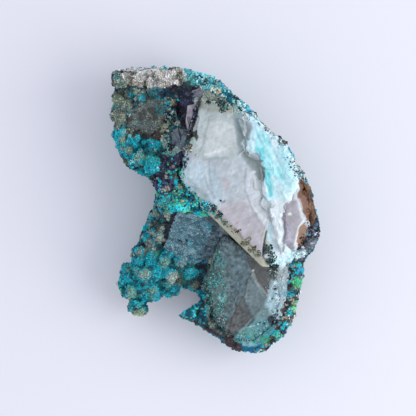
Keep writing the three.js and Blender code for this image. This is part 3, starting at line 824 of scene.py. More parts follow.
# Grains of the crust
CLUMP_COVER = 1.5
COVER_SWAY = 0.4              # how much the cover varies from place to place
PATCH_SHARE = 0.88            # share of the grains that have the colour of the patch they are in
SIZE_SPREAD = 0.25
STRETCH = (0.75, 1.25)        # how far a grain is drawn out or pressed along each of its axes
GRAIN_SHIFT = 0.25            # how far, in radii, a grain is moved out of or into the surface
GRAIN_FOOT = 1.3              # how many radii above the base plane a grain's centre stays
SHADE_SPREAD = 0.07
GAP_LIGHT = 0.24              # painted shade: how light a grain is between two lumps
BRIGHTEST = 0.92
EDGE_GRAIN = 0.16             # radius of the grains on the edges of the crystals
DUST_GRAIN = 0.12
OPEN_HEIGHT = 0.7             # lump height that stands for the open top of a crystal, which gives the grains there the painted light of a lump's top
UPWARD = 0.1                  # crystals carry grains only where they look up more than this
DARK_GRAINS = [BLACK_BLUE, BLACK_BLUE, DARK_TEAL, (60, 60, 54), (60, 130, 110)]
BEVEL_GRAINS = [BLACK_BLUE, (60, 66, 54), (112, 112, 84), (60, 130, 110), (142, 132, 100), (100, 66, 48)]
RIM_GRAINS = [BLACK_BLUE, (72, 66, 62), (150, 146, 134), (70, 150, 170)]
BLUE_GRAINS = [(64, 168, 196), (90, 196, 214), (30, 110, 150), BLACK_BLUE]
NECK_GRAINS = [TURQUOISE, BRIGHT_TURQUOISE, GREEN, PURPLE_BLUE, BLACK_BLUE, DEEP_TEAL]
VUG_GRAINS = [(150, 180, 160), (110, 150, 136), (90, 74, 58), (60, 50, 44), BEIGE]
BEAD_GRAINS = [BLACK_BLUE, BLACK_BLUE, (34, 44, 64), (70, 84, 100)]
SPECKS = [(226, 230, 228), (160, 172, 170), BLACK_BLUE, (110, 150, 150)]
# Clumps of grains of other colours: centre, reach in pixels, share covered and colours
CLUMPS = [
    ((223, 105.5), 7.0, 0.95, DARK_GRAINS), ((208, 103), 3.4, 0.8, DARK_GRAINS),
    ((189, 134), 2.6, 0.5, VUG_GRAINS), ((189, 148), 4.0, 0.6, VUG_GRAINS),
    ((196, 156), 1.4, 0.7, VUG_GRAINS), ((196, 201), 5.5, 0.9, NECK_GRAINS),
    ((206, 206), 6.5, 0.95, NECK_GRAINS), ((187, 192), 4.0, 0.9, NECK_GRAINS),
    ((214, 209), 4.4, 0.9, DARK_GRAINS), ((220, 214), 4.0, 0.9, DARK_GRAINS),
    ((226, 221), 3.0, 0.7, DARK_GRAINS), ((236, 231), 3.6, 0.6, BEVEL_GRAINS),
    ((246, 241), 5.0, 0.7, BEVEL_GRAINS), ((253, 248), 4.4, 0.7, BEVEL_GRAINS),
    ((259, 253), 4.0, 0.7, BEVEL_GRAINS), ((231, 226), 3.0, 0.5, BEVEL_GRAINS),
    ((222, 201), 1.8, 0.7, DARK_GRAINS), ((267, 249), 5.5, 0.9, DARK_GRAINS),
    ((271, 258), 5.5, 0.9, DARK_GRAINS), ((275, 267), 4.5, 0.85, DARK_GRAINS),
    ((250, 110), 5.0, 0.85, BLUE_GRAINS), ((259, 107), 3.6, 0.9, BLUE_GRAINS),
    ((268, 127), 5.0, 0.85, RIM_GRAINS), ((282, 141), 6.0, 0.9, RIM_GRAINS),
    ((292, 149), 7.0, 0.9, BLUE_GRAINS), ((300, 174), 5.0, 0.8, RIM_GRAINS),
    ((288, 158), 6.0, 0.16, BLUE_GRAINS), ((294, 166), 6.0, 0.3, RIM_GRAINS),
    ((274, 133), 6.0, 0.2, RIM_GRAINS), ((272, 320), 6.0, 0.95, BEAD_GRAINS),
    ((286, 328), 4.5, 0.9, BEAD_GRAINS), ((221, 324), 7.0, 0.6, SPECKS), ((268, 288), 4.0, 0.5, SPECKS),
    ((274, 276), 4.5, 0.6, DARK_GRAINS), ((263, 322), 4.0, 0.3, BEAD_GRAINS),
]
CLUMP_GROUND = [
    Spot(np.mean(colours, axis=0), 2.0, share, centre, 0.7 * reach, 2.0)
    for centre, reach, share, colours in CLUMPS if share > 0.65
]
# Dust on the smoky crystal: outline, share covered, depth of its soft edge in pixels and colours
DUST = [
    ([(214, 244), (224, 250), (228, 276), (230, 300), (226, 320), (230, 340), (212, 330), (202, 308),
      (205, 280)],
     1.7, 9, [(120, 214, 204), (70, 180, 180), (40, 130, 140), (130, 160, 146), (40, 60, 62),
      (92, 110, 108)]),
    ([(254, 322), (270, 300), (276, 284), (286, 286), (286, 312), (278, 334), (262, 348), (236, 348),
      (228, 341)],
     0.55, 3, [(186, 214, 218), (150, 200, 204), (110, 180, 184), (60, 130, 140), (30, 36, 44),
      (130, 170, 160)]),
    ([(266, 268), (276, 266), (282, 276), (280, 290), (272, 292), (272, 280)],
     0.5, 2, [(70, 62, 58), (34, 36, 44), (150, 160, 160), (210, 220, 224)]),
]


def picked(random, colours, count):
    return linear(colours)[random.integers(len(colours), size=count)]


def clump_of(random, points):
    """For each point the number of the clump it is in, counted from 1, or 0 for the share that is in none."""
    plan = to_plan(points)
    wobble = 0.85 + fractal(points, 1.8, 81)
    clump = np.zeros(len(points), int)
    for number, (centre, reach, share, _) in enumerate(CLUMPS):
        near = (np.hypot(*(plan - centre).T) < reach * wobble) & (points[:, 2] > FLANK_BELOW)
        clump[near & (random.uniform(size=len(points)) < share)] = number + 1
    return clump


def over_edge(random, points, outline, creep):
    """The points that the crust creeps over along an outline, by creep pixels at each of its corners."""
    distance, place = line_distance(outline, to_plan(points), closed=True)
    reach = np.interp(place, np.arange(len(outline) + 1), creep + creep[:1])
    near = distance < reach * (0.75 + 1.3 * fractal(points, 1.8, 81))
    return near & (random.uniform(size=len(points)) < CREEP_SHARE)


def seen_region(points):
    """The region above each point of a crystal, as seen from above."""
    return region_of(points, np.tile((0.0, 0.0, 1.0), (len(points), 1)))


def rock_grains(random, rock, lump):
    """Where grains sit on the rock. Clump and dust are numbers counted from 1, and 0 means none."""
    places, outward, corner = surface_samples(rock, random, GRAINS_PER_MM2)
    region = region_of(places, outward)
    radius = of_region(region, "radius")
    clump = clump_of(random, places)
    cover = np.maximum(of_region(region, "cover"), (clump > 0) * CLUMP_COVER)
    wanted = cover / (math.pi * radius**2) / GRAINS_PER_MM2 * (1 + COVER_SWAY * noise(places, 1.4, 51))
    keep = ~seated(places, GRAIN_INSET) & (random.uniform(size=len(places)) < wanted)
    return {
        "place": places[keep], "outward": outward[keep], "region": region[keep], "radius": radius[keep],
        "height": lump[corner][keep], "clump": clump[keep], "dust": np.zeros(keep.sum(), int),
    }


def slab_grains(random, slab):
    """The same for the edge of the slab and the clumps on it."""
    places, outward, _ = surface_samples(slab, random, GRAINS_PER_MM2)
    edge = over_edge(random, places, SLAB, SLAB_CREEP)
    clump = clump_of(random, places)
    keep = (edge | (clump > 0)) & (outward[:, 2] > UPWARD)
    count = keep.sum()
    return {
        "place": places[keep], "outward": outward[keep], "region": seen_region(places)[keep],
        "radius": np.full(count, EDGE_GRAIN), "height": np.full(count, OPEN_HEIGHT), "clump": clump[keep],
        "dust": np.zeros(count, int),
    }


def smoky_grains(random, smoky):
    """The same for the edge of the smoky crystal, the clumps on it and its dust."""
    places, outward, _ = surface_samples(smoky, random, GRAINS_PER_MM2)
    plan = to_plan(places)
    patchy = smooth_step(fractal(places, 1.0, 91), -0.3, 0.4)
    dust = np.zeros(len(places), int)
    for number, (outline, share, soft, _) in enumerate(DUST):
        reach = smooth_step(-outline_distance(outline, plan), -1, soft)
        dust[random.uniform(size=len(places)) < share * patchy * reach] = number + 1
    clump = clump_of(random, places)
    dust[clump > 0] = 0
    edge = over_edge(random, places, SMOKY, SMOKY_CREEP)
    keep = ((dust > 0) | (clump > 0) | edge) & (outward[:, 2] > UPWARD)
    return {
        "place": places[keep], "outward": outward[keep], "region": seen_region(places)[keep],
        "radius": np.where(edge[keep], EDGE_GRAIN, DUST_GRAIN), "height": np.full(keep.sum(), OPEN_HEIGHT),
        "clump": clump[keep], "dust": dust[keep],
    }


def grain_colours(random, grain):
    """Each grain's colour: that of its region, clump or dust, with painted shade between the lumps and
    painted light on their tops.
    """
    places = grain["place"]
    count = len(places)
    in_patch = random.uniform(size=count) < PATCH_SHARE
    pick = np.where(in_patch, patch_number(places), random.uniform(size=count))
    colours = crust_colours(places, grain["region"], pick)
    for key, kinds in (("clump", CLUMPS), ("dust", DUST)):
        for number, kind in enumerate(kinds):
            here = grain[key] == number + 1
            colours[here] = picked(random, kind[-1], here.sum())
    # Painted shade between the lumps and painted light on their tops
    relief = np.minimum(of_region(grain["region"], "lump") / FULL_LUMP, 1)
    shade = 1 - relief * (1 - GAP_LIGHT - 1.02 * smooth_step(grain["height"], 0.08, 0.64))
    shade *= np.exp(random.normal(0, SHADE_SPREAD, count))
    return np.clip(colours * shade[:, None], 0, BRIGHTEST)


def build_grains(rock, lump, slab, smoky):
    """The druse: grains over the whole crust and over the edges of the crystals, joined by kind."""
    random = np.random.default_rng(SEED)
    parts = [rock_grains(random, rock, lump), slab_grains(random, slab), smoky_grains(random, smoky)]
    grain = {key: np.concatenate([part[key] for part in parts]) for key in parts[0]}
    colours = grain_colours(random, grain)
    size = grain["radius"] * np.exp(random.normal(0, SIZE_SPREAD, len(colours)))
    shift = GRAIN_SHIFT * size * random.uniform(-0.6, 1.0, len(size))
    places = grain["place"] + grain["outward"] * shift[:, None]
    places[:, 2] = np.maximum(places[:, 2], size * GRAIN_FOOT)

    crystal = of_region(grain["region"], "crystal") | (grain["dust"] > 0)
    pieces = []
    for name, chosen, shape, jitter in (
        ("druse_crystals", crystal, octahedron(), 0.15),
        ("crust_grains", ~crystal, icosahedron(), 0.2),
    ):
        shares = np.array_split(np.flatnonzero(chosen), 1 + chosen.sum() * len(shape[1]) // MOST_TRIANGLES)
        for number, share in enumerate(shares):
            label = f"{name}_{number + 1}"
            piece = grain_mesh(label, random, places[share], size[share], colours[share], shape, jitter)
            pieces.append(piece)
    return pieces


# Pale crystal. The brown part of its right edge and the tan patch under it are matte.
BROWN_STRIP = [(296, 179), (304, 175), (311, 192), (315, 208), (312, 222), (306, 220), (301, 208), (297, 196)]
TAN_PATCH = [(299, 226), (306, 223), (310, 236), (306, 246), (299, 250), (296, 240)]
THIN_LEDGE = [(246, 168), (252, 172), (256, 186), (262, 205), (268, 222), (266, 232), (258, 218), (250, 204),
              (244, 184)]
CLEFT = [(200, 98), (198.5, 108), (194, 122), (190.5, 132), (188, 147)]
SLAB_MARKS = [
    Patch((190, 203, 202), 8, 0.9, [(197, 96), (234, 98), (242, 120), (236, 160), (205, 160), (186, 150),
        (190, 128)]),
    Patch((160, 168, 155), 5, 0.85, [(198, 94), (218, 94), (240, 106), (232, 113), (212, 113), (199, 110)]),
    Patch((192, 213, 223), 8, 0.85, [(178, 178), (192, 163), (212, 166), (222, 186), (222, 202), (206, 206),
        (188, 200)]),
    Patch((193, 188, 194), 12, 0.85, [(214, 206), (240, 200), (258, 204), (270, 222), (272, 250), (262, 260),
        (238, 242), (220, 222)]),
    Patch((162, 176, 174), 7, 0.7, [(193, 189), (202, 188), (208, 195), (204, 202), (194, 199)]),
    # Painted reflection: the pale rectangle with lighter and darker edges is a ghost reflection in the slab
    Patch((212, 221, 221), 3, 0.85, [(209, 122), (222, 121), (232, 125), (236, 146), (229, 156), (204, 158),
        (206, 138)]),
    Stroke((158, 172, 172), 2.0, 0.5, [(209, 117), (208, 124), (205, 134), (203, 146), (200, 152)]),
    Stroke((172, 184, 184), 2.0, 0.35, [(209, 117), (216, 116), (226, 120), (234, 118)], 1.5),
    Stroke((232, 240, 241), 2.8, 0.9, [(205, 155), (211, 154), (217, 151.5), (226, 149.5)]),
    Stroke((224, 233, 234), 2.0, 0.85, [(225, 130), (229, 127), (233, 127), (234.5, 136), (236, 147)]),
    Stroke((158, 172, 176), 2.2, 0.5, [(203, 160), (214, 158.5), (228, 158.5)]),
    Stroke((220, 228, 231), 1.4, 0.7, [(206, 164), (207, 174), (209, 186)]),
    Stroke((160, 174, 178), 1.2, 0.6, [(209, 162), (210, 174), (212, 186)]),
    Patch((152, 173, 176), 4, 0.95, [(234, 109), (242, 110), (247, 126), (249, 142), (244, 156), (238, 154),
        (237, 136), (234, 120)]),
    Patch((144, 160, 158), 4, 0.95, [(244, 150), (250, 154), (258, 158), (264, 170), (265, 184), (258, 180),
        (250, 168), (243, 160)]),
    Stroke((228, 237, 239), 1.3, 0.95, [(241, 111), (243, 122), (244.5, 136), (243, 148), (240, 157)], 0.3),
    Patch((218, 226, 232), 3, 0.9, THIN_LEDGE),
    Patch((198, 208, 210), 4, 0.8, [(262, 198), (270, 205), (274, 216), (277, 240), (270, 246), (268, 230),
        (262, 212)]),
    Spot((150, 164, 166), 1.5, 0.8, (258.5, 184.5), 6.2, 0.4),
    Spot((206, 215, 217), 1.5, 0.95, (258.5, 184), 4.9, 0.4),
    Stroke((232, 238, 240), 1.2, 0.9, [(255, 178), (254, 186), (257, 191), (262, 190)], 0.3),
    Spot((226, 234, 236), 1.5, 0.9, (249.5, 176), 2.0),
    Spot((226, 234, 236), 1.5, 0.9, (253.5, 172), 1.4),
    # Painted highlight along the thin white ledge
    Stroke((230, 238, 240), 1.3, 0.9, [(250, 200), (255, 210), (260, 214), (265, 222)], 0.5),
    Stroke((214, 222, 226), 1.5, 0.5, [(236, 168), (242, 182), (248, 200), (252, 220)]),
    Stroke((216, 222, 226), 1.5, 0.5, [(232, 196), (244, 202), (256, 200)]),
    Stroke((150, 158, 164), 1.6, 0.4, [(205, 176), (208, 188), (216, 198)]),
    Patch((196, 170, 174), 5, 0.4, [(222, 178), (230, 180), (230, 188), (224, 188)]),
    Patch((204, 206, 186), 3, 0.8, [(263, 230), (270, 232), (272, 242), (267, 246), (264, 240)]),
    Patch((152, 148, 158), 3, 0.95, [(284, 198), (292, 192), (297, 204), (302, 219), (298, 227), (296, 240),
        (292, 252), (284, 254), (283, 226)]),
    Patch((178, 178, 202), 3, 0.6, [(285, 226), (291, 224), (291, 243), (286, 246)]),
    Spot((224, 236, 238), 1.2, 0.9, (290, 215), 1.8, 0.3),
    Patch((104, 62, 32), 1.6, 0.95, BROWN_STRIP, 0.7),
    Patch((70, 44, 26), 2.5, 0.5, [(299, 180), (303, 183), (309, 198), (306, 204), (301, 194)], 0.7),
    Patch((134, 98, 72), 1.6, 0.95, TAN_PATCH, 0.7),
    Stroke((196, 190, 188), 1.2, 0.5, [(297, 192), (301, 206), (304, 216)], 0.5),
    Stroke((222, 228, 232), 1.6, 0.9, [(304, 217), (303, 221), (298, 227), (296, 238), (294, 250)], 0.5),
    Spot((50, 52, 50), 1, 0.85, (208, 103), 1.6),
    Spot((40, 58, 62), 2, 0.8, (222, 104), 4.0),
    Patch((200, 224, 228), 3, 0.7, [(182, 168), (188, 160), (194, 172), (193, 186), (203, 195), (213, 204),
        (206, 208), (190, 196), (184, 184)]),
    # Painted shadow: the black crescent over the small vug, above its green-white bubble
    Patch((38, 36, 36), 1.6, 0.95, [(186, 132), (191, 129.5), (196, 132), (199, 138), (197, 142), (193, 138),
        (187, 139)], 0.7),
    Spot((190, 220, 204), 1.4, 0.95, (192.5, 141.5), 3.4, 0.8),
    Spot((74, 56, 44), 1.6, 0.85, (190, 148), 3.0, 1.4),
    Stroke((52, 56, 52), 1.8, 0.95, [(266, 232), (264.5, 240), (264.5, 252), (267, 260)], 0.4),
    # Painted shadow in the cleft along the slab's left edge, which is also sunk
    Stroke((30, 28, 32), 3.0, 0.95, CLEFT, 0.6),
    Spot((150, 96, 78), 2, 0.6, (191, 149), 2.0),
    Spot((150, 110, 96), 1, 0.6, (197, 156), 1.0),
    Spot((170, 110, 106), 1, 0.5, (242, 228), 1.2),
    Spot((170, 110, 106), 1, 0.5, (238, 222), 1.0),
]
BEVEL_MARKS = [
    Patch((204, 203, 176), 1.6, 0.95, [(209, 208), (218, 208.5), (242, 231.5), (266, 256), (271, 262),
        (264, 268), (238, 244), (207, 216)], 0.6),
    Stroke((150, 150, 122), 1.4, 0.7, [(217, 210), (232, 224), (246, 237), (264, 255)], 0.8),
    Stroke((168, 104, 84), 1.2, 0.5, [(236, 226), (240, 229), (245, 235)], 0.6),
]
SLAB_BASE = (200, 211, 218)
SHEET_BASE = (196, 229, 236)
SILK_WAY = -62                # which way the fibres of the sheet run, in degrees
CREASE_WAY = -66
# What the silky sheet covers: its raised part, and the thin part between that and the rim
SILK = [
    Patch(NO_COLOUR, 1.2, 1, SHEET_SEEN, 1.2),
    Patch(NO_COLOUR, 1.2, 1, [(247, 106), (262, 114), (290, 138), (304, 168), (297, 182), (295, 192),
        (288, 202), (283, 206), (282, 243), (292, 251), (305, 249), (302, 262), (276, 270), (270, 258),
        (272, 246), (266, 240), (268, 226), (276, 216), (264, 196), (268, 160), (258, 130)], 1.4),
]
MATTE = SILK + [Patch(NO_COLOUR, 1.6, 1, outline, 0.7) for outline in (BROWN_STRIP, TAN_PATCH)]
SHEET_MARKS = [
    Patch((186, 220, 230), 6, 0.8, [(240, 110), (262, 118), (276, 134), (268, 142), (254, 138), (246, 124)]),
    Patch((160, 226, 232), 6, 0.9, [(254, 130), (262, 132), (269, 148), (276, 172), (277, 188), (272, 196),
        (268, 182), (262, 166), (256, 152)]),
    Patch((104, 204, 212), 2.5, 0.9, [(256, 147), (264, 150), (266, 163), (258, 158)]),
    Patch((104, 204, 212), 2.5, 0.9, [(265, 168), (270, 176), (273, 197), (267, 194), (265, 181)]),
    Patch((126, 210, 218), 3, 0.7, [(262, 136), (268, 136), (272, 146), (266, 146)]),
    Patch((134, 220, 226), 3, 0.7, [(276, 164), (284, 170), (284, 184), (277, 178)]),
    Patch((200, 232, 238), 3, 0.8, [(272, 176), (280, 180), (282, 196), (274, 194)]),
    Patch((150, 226, 234), 4, 0.7, [(278, 150), (286, 156), (290, 172), (286, 182), (280, 166)]),
    Patch((172, 216, 224), 6, 0.8, [(274, 140), (288, 150), (298, 166), (301, 178), (294, 188), (284, 190),
        (282, 170), (272, 150)]),
    Patch((214, 223, 227), 6, 0.9, [(266, 202), (290, 200), (290, 215), (286, 256), (274, 256), (272, 225)]),
    Stroke((236, 244, 246), 2.0, 0.8, [(246, 146), (248, 153), (258, 158), (263, 170), (264, 192),
        (262, 204), (272, 214)]),
    Stroke((236, 244, 246), 2.0, 0.7, [(262, 120), (278, 138), (292, 162), (296, 184), (290, 198)]),
    Stroke((176, 216, 226), 1.2, 0.7, [(250, 122), (258, 132), (262, 140)]),
    Stroke((236, 240, 244), 1.6, 0.8, [(256, 120), (268, 134), (276, 150)]),
]
# A crack, a hair crack, a thin white ledge and the cleft on the left, and how far each is raised
SLAB_RELIEF = [
    Stroke(NO_COLOUR, 1.6, 1, [(266, 230), (264.5, 240), (264.5, 256)]),
    Stroke(NO_COLOUR, 1.0, 1, [(241, 111), (244.5, 136), (240, 157)]),
    Patch(NO_COLOUR, 1, 1, THIN_LEDGE),
    Stroke(NO_COLOUR, 2.4, 1, CLEFT),
]
SLAB_LIFTS = (-0.35, -0.10, 0.18, -0.5)
FIT_FILL = 0.26               # how far the slab is grown into the gap round it
LEDGE_SWAY = 0.5              # how far the edges of the sheet wander
SHEET_FOOT = 15.0             # below this height the slab keeps its size
UNSEEN_DROP = 0.6             # how far the sheet's ledge sinks where the photograph shows none
EDGE_REACH = 0.6              # how far the slab's straight edge is drawn out over the rock
RIM_SWAY = 0.55               # how far the broken edges of the slab wander


def silk_colours(points, crease):
    silk = np.tile(linear(SHEET_BASE), (len(points), 1))
    silk = paint(silk, points, SHEET_MARKS)
    silk *= (1 + 0.32 * streaks(points, SILK_WAY, 2.0, 0.28, 111) + 0.22 * fractal(points, 0.6, 114))[:, None]
    return silk * (0.96 + 0.2 * crease)[:, None]


def slab_colours(points, top, on_sheet, crease):
    tint = np.tile(linear(SLAB_BASE), (len(points), 1))
    tint = paint(tint, points, SLAB_MARKS)
    veil = 1 - smooth_step(np.abs(streaks(points, 75, 5.0, 1.6, 103)), 0.0, 0.07)
    cloud = 0.13 * fractal(points, 4.0, 101) + 0.10 * streaks(points, 70, 4.0, 0.5, 105) + 0.16 * veil
    cloud += 0.2 * fractal(points, 1.0, 107) + 0.14 * fractal(points, 0.45, 108)
    cloud += 0.12 * streaks(points, 20, 2.0, 0.3, 109)
    tint *= (1.04 + cloud)[:, None]
    tint = paint(tint, points, BEVEL_MARKS)
    tint = tint * (1 - on_sheet[:, None]) + silk_colours(points, crease) * on_sheet[:, None]
    return np.where(top[:, None] > 0.5, paint(tint, points, CLUMP_GROUND), tint)


def slab_rise(points, on_sheet, crease, sheet_depth, plan):
    """How far each point of the slab's top is raised."""
    terrace = fractal(points * (1, 1, 0), 3.4, 121)
    steps = (np.floor(6 * terrace) + smooth_step(6 * terrace % 1, 0.0, 0.25)) / 6
    rise = 0.10 * fractal(points, 4.0, 123) + 0.10 * steps
    silky_rise = 0.2 * streaks(points, SILK_WAY, 3.0, 0.45, 126) + 0.25 * steps
    silky_rise += 0.10 * fractal(points, 1.0, 128) + 0.14 * crease
    unseen = smooth_step(-outline_distance(SHEET, plan), -0.5, 1) * smooth_step(-sheet_depth, -0.5, 1)
    rise = rise * (1 - on_sheet) + silky_rise * on_sheet - UNSEEN_DROP * unseen
    for lift, share in zip(SLAB_LIFTS, covers(SLAB_RELIEF, points)):
        rise += lift * share
    return rise


def build_pale_crystal():
    slab = dense_copy("pale_crystal", "pale_slab", SLAB_VOXEL)
    relax(slab, 1)
    points, normals = mesh_points(slab), mesh_normals(slab)
    plan = to_plan(points)
    top = smooth_step(normals[:, 2], 0.2, 0.6)
    above = points[:, 2] > SHEET_FOOT
    on_sheet = np.maximum(*covers(SILK, points))
    crease = 1 - smooth_step(np.abs(streaks(points, CREASE_WAY, 1.8, 0.7, 116)), 0.0, 0.12)
    tint = slab_colours(points, top, on_sheet, crease)

    sheet_depth = -outline_distance(SHEET_SEEN, plan)
    moved = points + FIT_FILL * normals * (1 - top)[:, None] * above[:, None]
    moved[:, 2] += top * slab_rise(points, on_sheet, crease, sheet_depth, plan)
    inner = smooth_step(-outline_distance(SLAB, plan), 3, 9)
    near_ledge = 1 - smooth_step(np.abs(sheet_depth), 4, 12)
    from_straight = line_distance(STRAIGHT_EDGE, plan)[0]
    broken = smooth_step(from_straight, 2, 8)
    amount = LEDGE_SWAY * near_ledge * inner * top + RIM_SWAY * (1 - inner) * broken
    for axis, seed in ((0, 131), (1, 134)):
        moved[:, axis] += amount * (noise(points, 1.5, seed) + 0.6 * noise(points, 0.6, seed + 1))
    out = EDGE_REACH * (1 - smooth_step(from_straight, 6, 20)) * above
    moved[:, :2] -= out[:, None] * math.sqrt(0.5)
    reshape(slab, moved, tint)
    return slab


# Smoky crystal
SMOKY_MARKS = [
    Patch((84, 85, 83), 1.6, 0.95, [(246, 256), (262, 260), (276, 268), (277, 288), (272, 300), (266, 294),
        (258, 284), (252, 272)], 0.5),
    Patch((106, 124, 128), 2.0, 0.95, [(249, 278), (258, 287), (268, 298), (262, 308), (250, 313),
        (245, 298)], 0.6),
    Patch((90, 94, 94), 1.6, 0.95, [(244, 298), (250, 314), (254, 320), (242, 332), (228, 342), (226, 328),
        (235, 310)], 0.5),
    Patch((118, 146, 148), 4, 0.8, [(253, 318), (262, 308), (270, 298), (280, 300), (274, 322), (258, 322)]),
    Patch((100, 132, 122), 8, 0.5, [(206, 250), (218, 246), (226, 270), (230, 300), (224, 330), (210, 330),
        (204, 306)]),
    Patch((96, 156, 164), 4, 0.9, [(228, 341), (242, 330), (254, 321), (272, 318), (276, 332), (262, 346),
        (240, 347)]),
    Patch((176, 208, 219), 5, 0.9, [(272, 280), (284, 284), (286, 302), (282, 318), (272, 316), (266, 304)]),
    Spot((140, 214, 204), 3, 0.85, (222, 298), 4.5),
    Spot((96, 176, 174), 4, 0.5, (221, 262), 6.0),
    Spot((86, 150, 150), 4, 0.5, (217, 282), 6.0),
    Patch((94, 160, 154), 4, 0.8, [(238, 336), (243, 328), (254, 325), (259, 332), (254, 340), (244, 344)]),
    # Painted highlight on the green bubble
    Stroke((196, 222, 222), 1.2, 0.7, [(240, 333), (246, 328), (255, 326)]),
    Stroke((66, 58, 54), 1.4, 0.8, [(253, 270), (247, 280), (245, 294), (237, 308), (232, 318), (228, 336)],
        0.5),
    Stroke((150, 170, 172), 1.0, 0.7, [(237, 297), (235, 302), (233, 307)], 0.3),
    Stroke((150, 170, 172), 1.0, 0.6, [(251, 275), (258, 286), (263, 296)], 0.4),
    Stroke((130, 140, 140), 0.9, 0.6, [(268, 278), (270, 284), (268, 290)], 0.4),
    Stroke((150, 178, 180), 1.2, 0.6, [(253, 318), (247, 325), (240, 331)], 0.5),
    # Painted glints on the smoky crystal
    Spot((230, 236, 238), 0.8, 0.9, (253, 270.5), 1.0, 0.2),
    Spot((230, 236, 238), 0.8, 0.9, (268.5, 291.5), 0.9, 0.2),
]
SMOKY_BASE = (94, 118, 124)
FACET_DROPS = (0.35, 0.10, 0.45)     # how far the first three marks, which are facets, lie below the rest
SMOKY_FILL = 0.44             # how far the crystal is grown into the gap round it


def build_smoky_crystal():
    crystal = dense_copy("smoky_crystal", "smoky_facets", SMOKY_VOXEL)
    points, normals = mesh_points(crystal), mesh_normals(crystal)
    tint = np.tile(linear(SMOKY_BASE), (len(points), 1))
    tint *= (1 + 0.2 * fractal(points, 2.4, 141) + 0.3 * streaks(points, -80, 3.0, 0.45, 145))[:, None]
    marked = paint(tint, points, SMOKY_MARKS)
    rough = 1 - smooth_step(to_plan(points)[:, 0], 238, 256)
    mottle = (0.5 + 0.9 * rough) * fractal(points, 0.42, 147) + 0.3 * streaks(points, 60, 2.0, 0.35, 149)
    marked *= np.clip(1.04 + mottle, 0.2, 2.0)[:, None]
    marked = paint(marked, points, CLUMP_GROUND)
    top = smooth_step(normals[:, 2], 0.2, 0.6)
    points += SMOKY_FILL * normals * (1 - top)[:, None]
    rise = 0.06 * fractal(points, 2.5, 151)
    for drop, share in zip(FACET_DROPS, covers(SMOKY_MARKS, points)):
        rise -= drop * share
    points[:, 2] += top * rise
    reshape(crystal, points, marked)
    return crystal


# Lilac-grey crystal faces that stand in the crust beside the slab: name, colour, way of the streaks, and the
# pixel and height of each corner
BLADES = [
    ("upper_facet", (116, 120, 134), 30,
     [(191, 92, 20.2), (199, 88.5, 20.7), (204.5, 92, 20.9), (201, 98, 20.6), (197, 103, 20.3),
      (192, 102, 20.0)]),
    ("lilac_facet", (146, 140, 152), -78,
     [(187.5, 106, 20.9), (197, 103.5, 20.3), (197, 110, 20.2), (194, 120, 20.1), (190, 132, 19.8),
      (187.5, 133, 20.1), (186, 124, 20.8), (186.5, 114, 20.9)]),
    ("grey_facet", (84, 98, 106), -60,
     [(171, 133, 20.4), (178, 127, 21.5), (180, 137, 21.5), (181, 150, 20.4), (175, 146, 20.3),
      (172, 140, 20.4)]),
    ("dark_facet", (50, 60, 70), -80,
     [(178, 127, 21.3), (184, 131, 20.5), (185.5, 143, 20.2), (182, 150, 20.3), (180, 137, 21.4)]),
]
BLADE_DEPTH = 3.0
BLADE_TAPER = (0.9, 0.9, 1)
BLADE_VOXEL = 0.14
BLADE_RELIEF = 0.12


def build_blades():
    """Flat-topped crystals whose roots are in the rock."""
    pieces = []
    for name, colour, angle, corners in BLADES:
        top = (np.array(corners) - (*ORIGIN_PIXEL, 0)) * (PIXEL, -PIXEL, 1)
        middle = top.mean(axis=0)
        root = middle + (top - middle) * BLADE_TAPER - (0, 0, BLADE_DEPTH)
        count = len(corners)
        points = np.concatenate([top, root, [middle], [root.mean(axis=0)]])
        faces = []
        for k in range(count):
            n = (k + 1) % count
            faces += [(2 * count, n, k), (k, n, count + n), (k, count + n, count + k)]
            faces += [(2 * count + 1, count + k, count + n)]
        piece = remeshed(mesh_object(name, points, faces), BLADE_VOXEL)
        fine, normals = mesh_points(piece), mesh_normals(piece)
        bands = streaks(fine, angle, 4.0, 0.35, 161)
        tint = linear(colour) * (1 + 0.9 * bands + 0.6 * fractal(fine, 0.5, 163))[:, None]
        rise = BLADE_RELIEF * bands + BLADE_RELIEF * fractal(fine, 0.6, 165)
        move_points(piece, fine + normals * rise[:, None])
        set_tint(piece, tint)
        pieces.append(piece)
    return pieces


# Materials
SILK_TURN = -0.2              # the slab's second material is only where it looks up more than this


def new_material(name, roughness, specular=0.5, ior=1.5):
    material = bpy.data.materials.new(name)
    material.use_nodes = True
    shader = material.node_tree.nodes["Principled BSDF"]
    shader.inputs["Roughness"].default_value = roughness
    shader.inputs["Specular IOR Level"].default_value = specular
    shader.inputs["IOR"].default_value = ior
    return material, material.node_tree, shader


def tinted(tree, shader, fine, spread):
    """Drives the base colour by the mesh's own tint, varied by noise of a fine size in millimetres."""
    nodes, links = tree.nodes, tree.links
    tint = nodes.new("ShaderNodeAttribute")
    tint.attribute_name = "tint"
    place = nodes.new("ShaderNodeTexCoord")
    grain = nodes.new("ShaderNodeTexNoise")
    grain.inputs["Scale"].default_value = 1 / (fine * MM)
    grain.inputs["Detail"].default_value = 3
    ramp = nodes.new("ShaderNodeMapRange")
    ramp.inputs["To Min"].default_value = 1 - spread
    ramp.inputs["To Max"].default_value = 1 + spread
    mix = nodes.new("ShaderNodeMix")
    mix.data_type = "RGBA"
    mix.blend_type = "MULTIPLY"
    mix.inputs["Factor"].default_value = 1
    links.new(place.outputs["Object"], grain.inputs["Vector"])
    links.new(grain.outputs["Fac"], ramp.inputs["Value"])
    links.new(tint.outputs["Color"], mix.inputs["A"])
    links.new(ramp.outputs["Result"], mix.inputs["B"])
    links.new(mix.outputs["Result"], shader.inputs["Base Color"])
    return grain


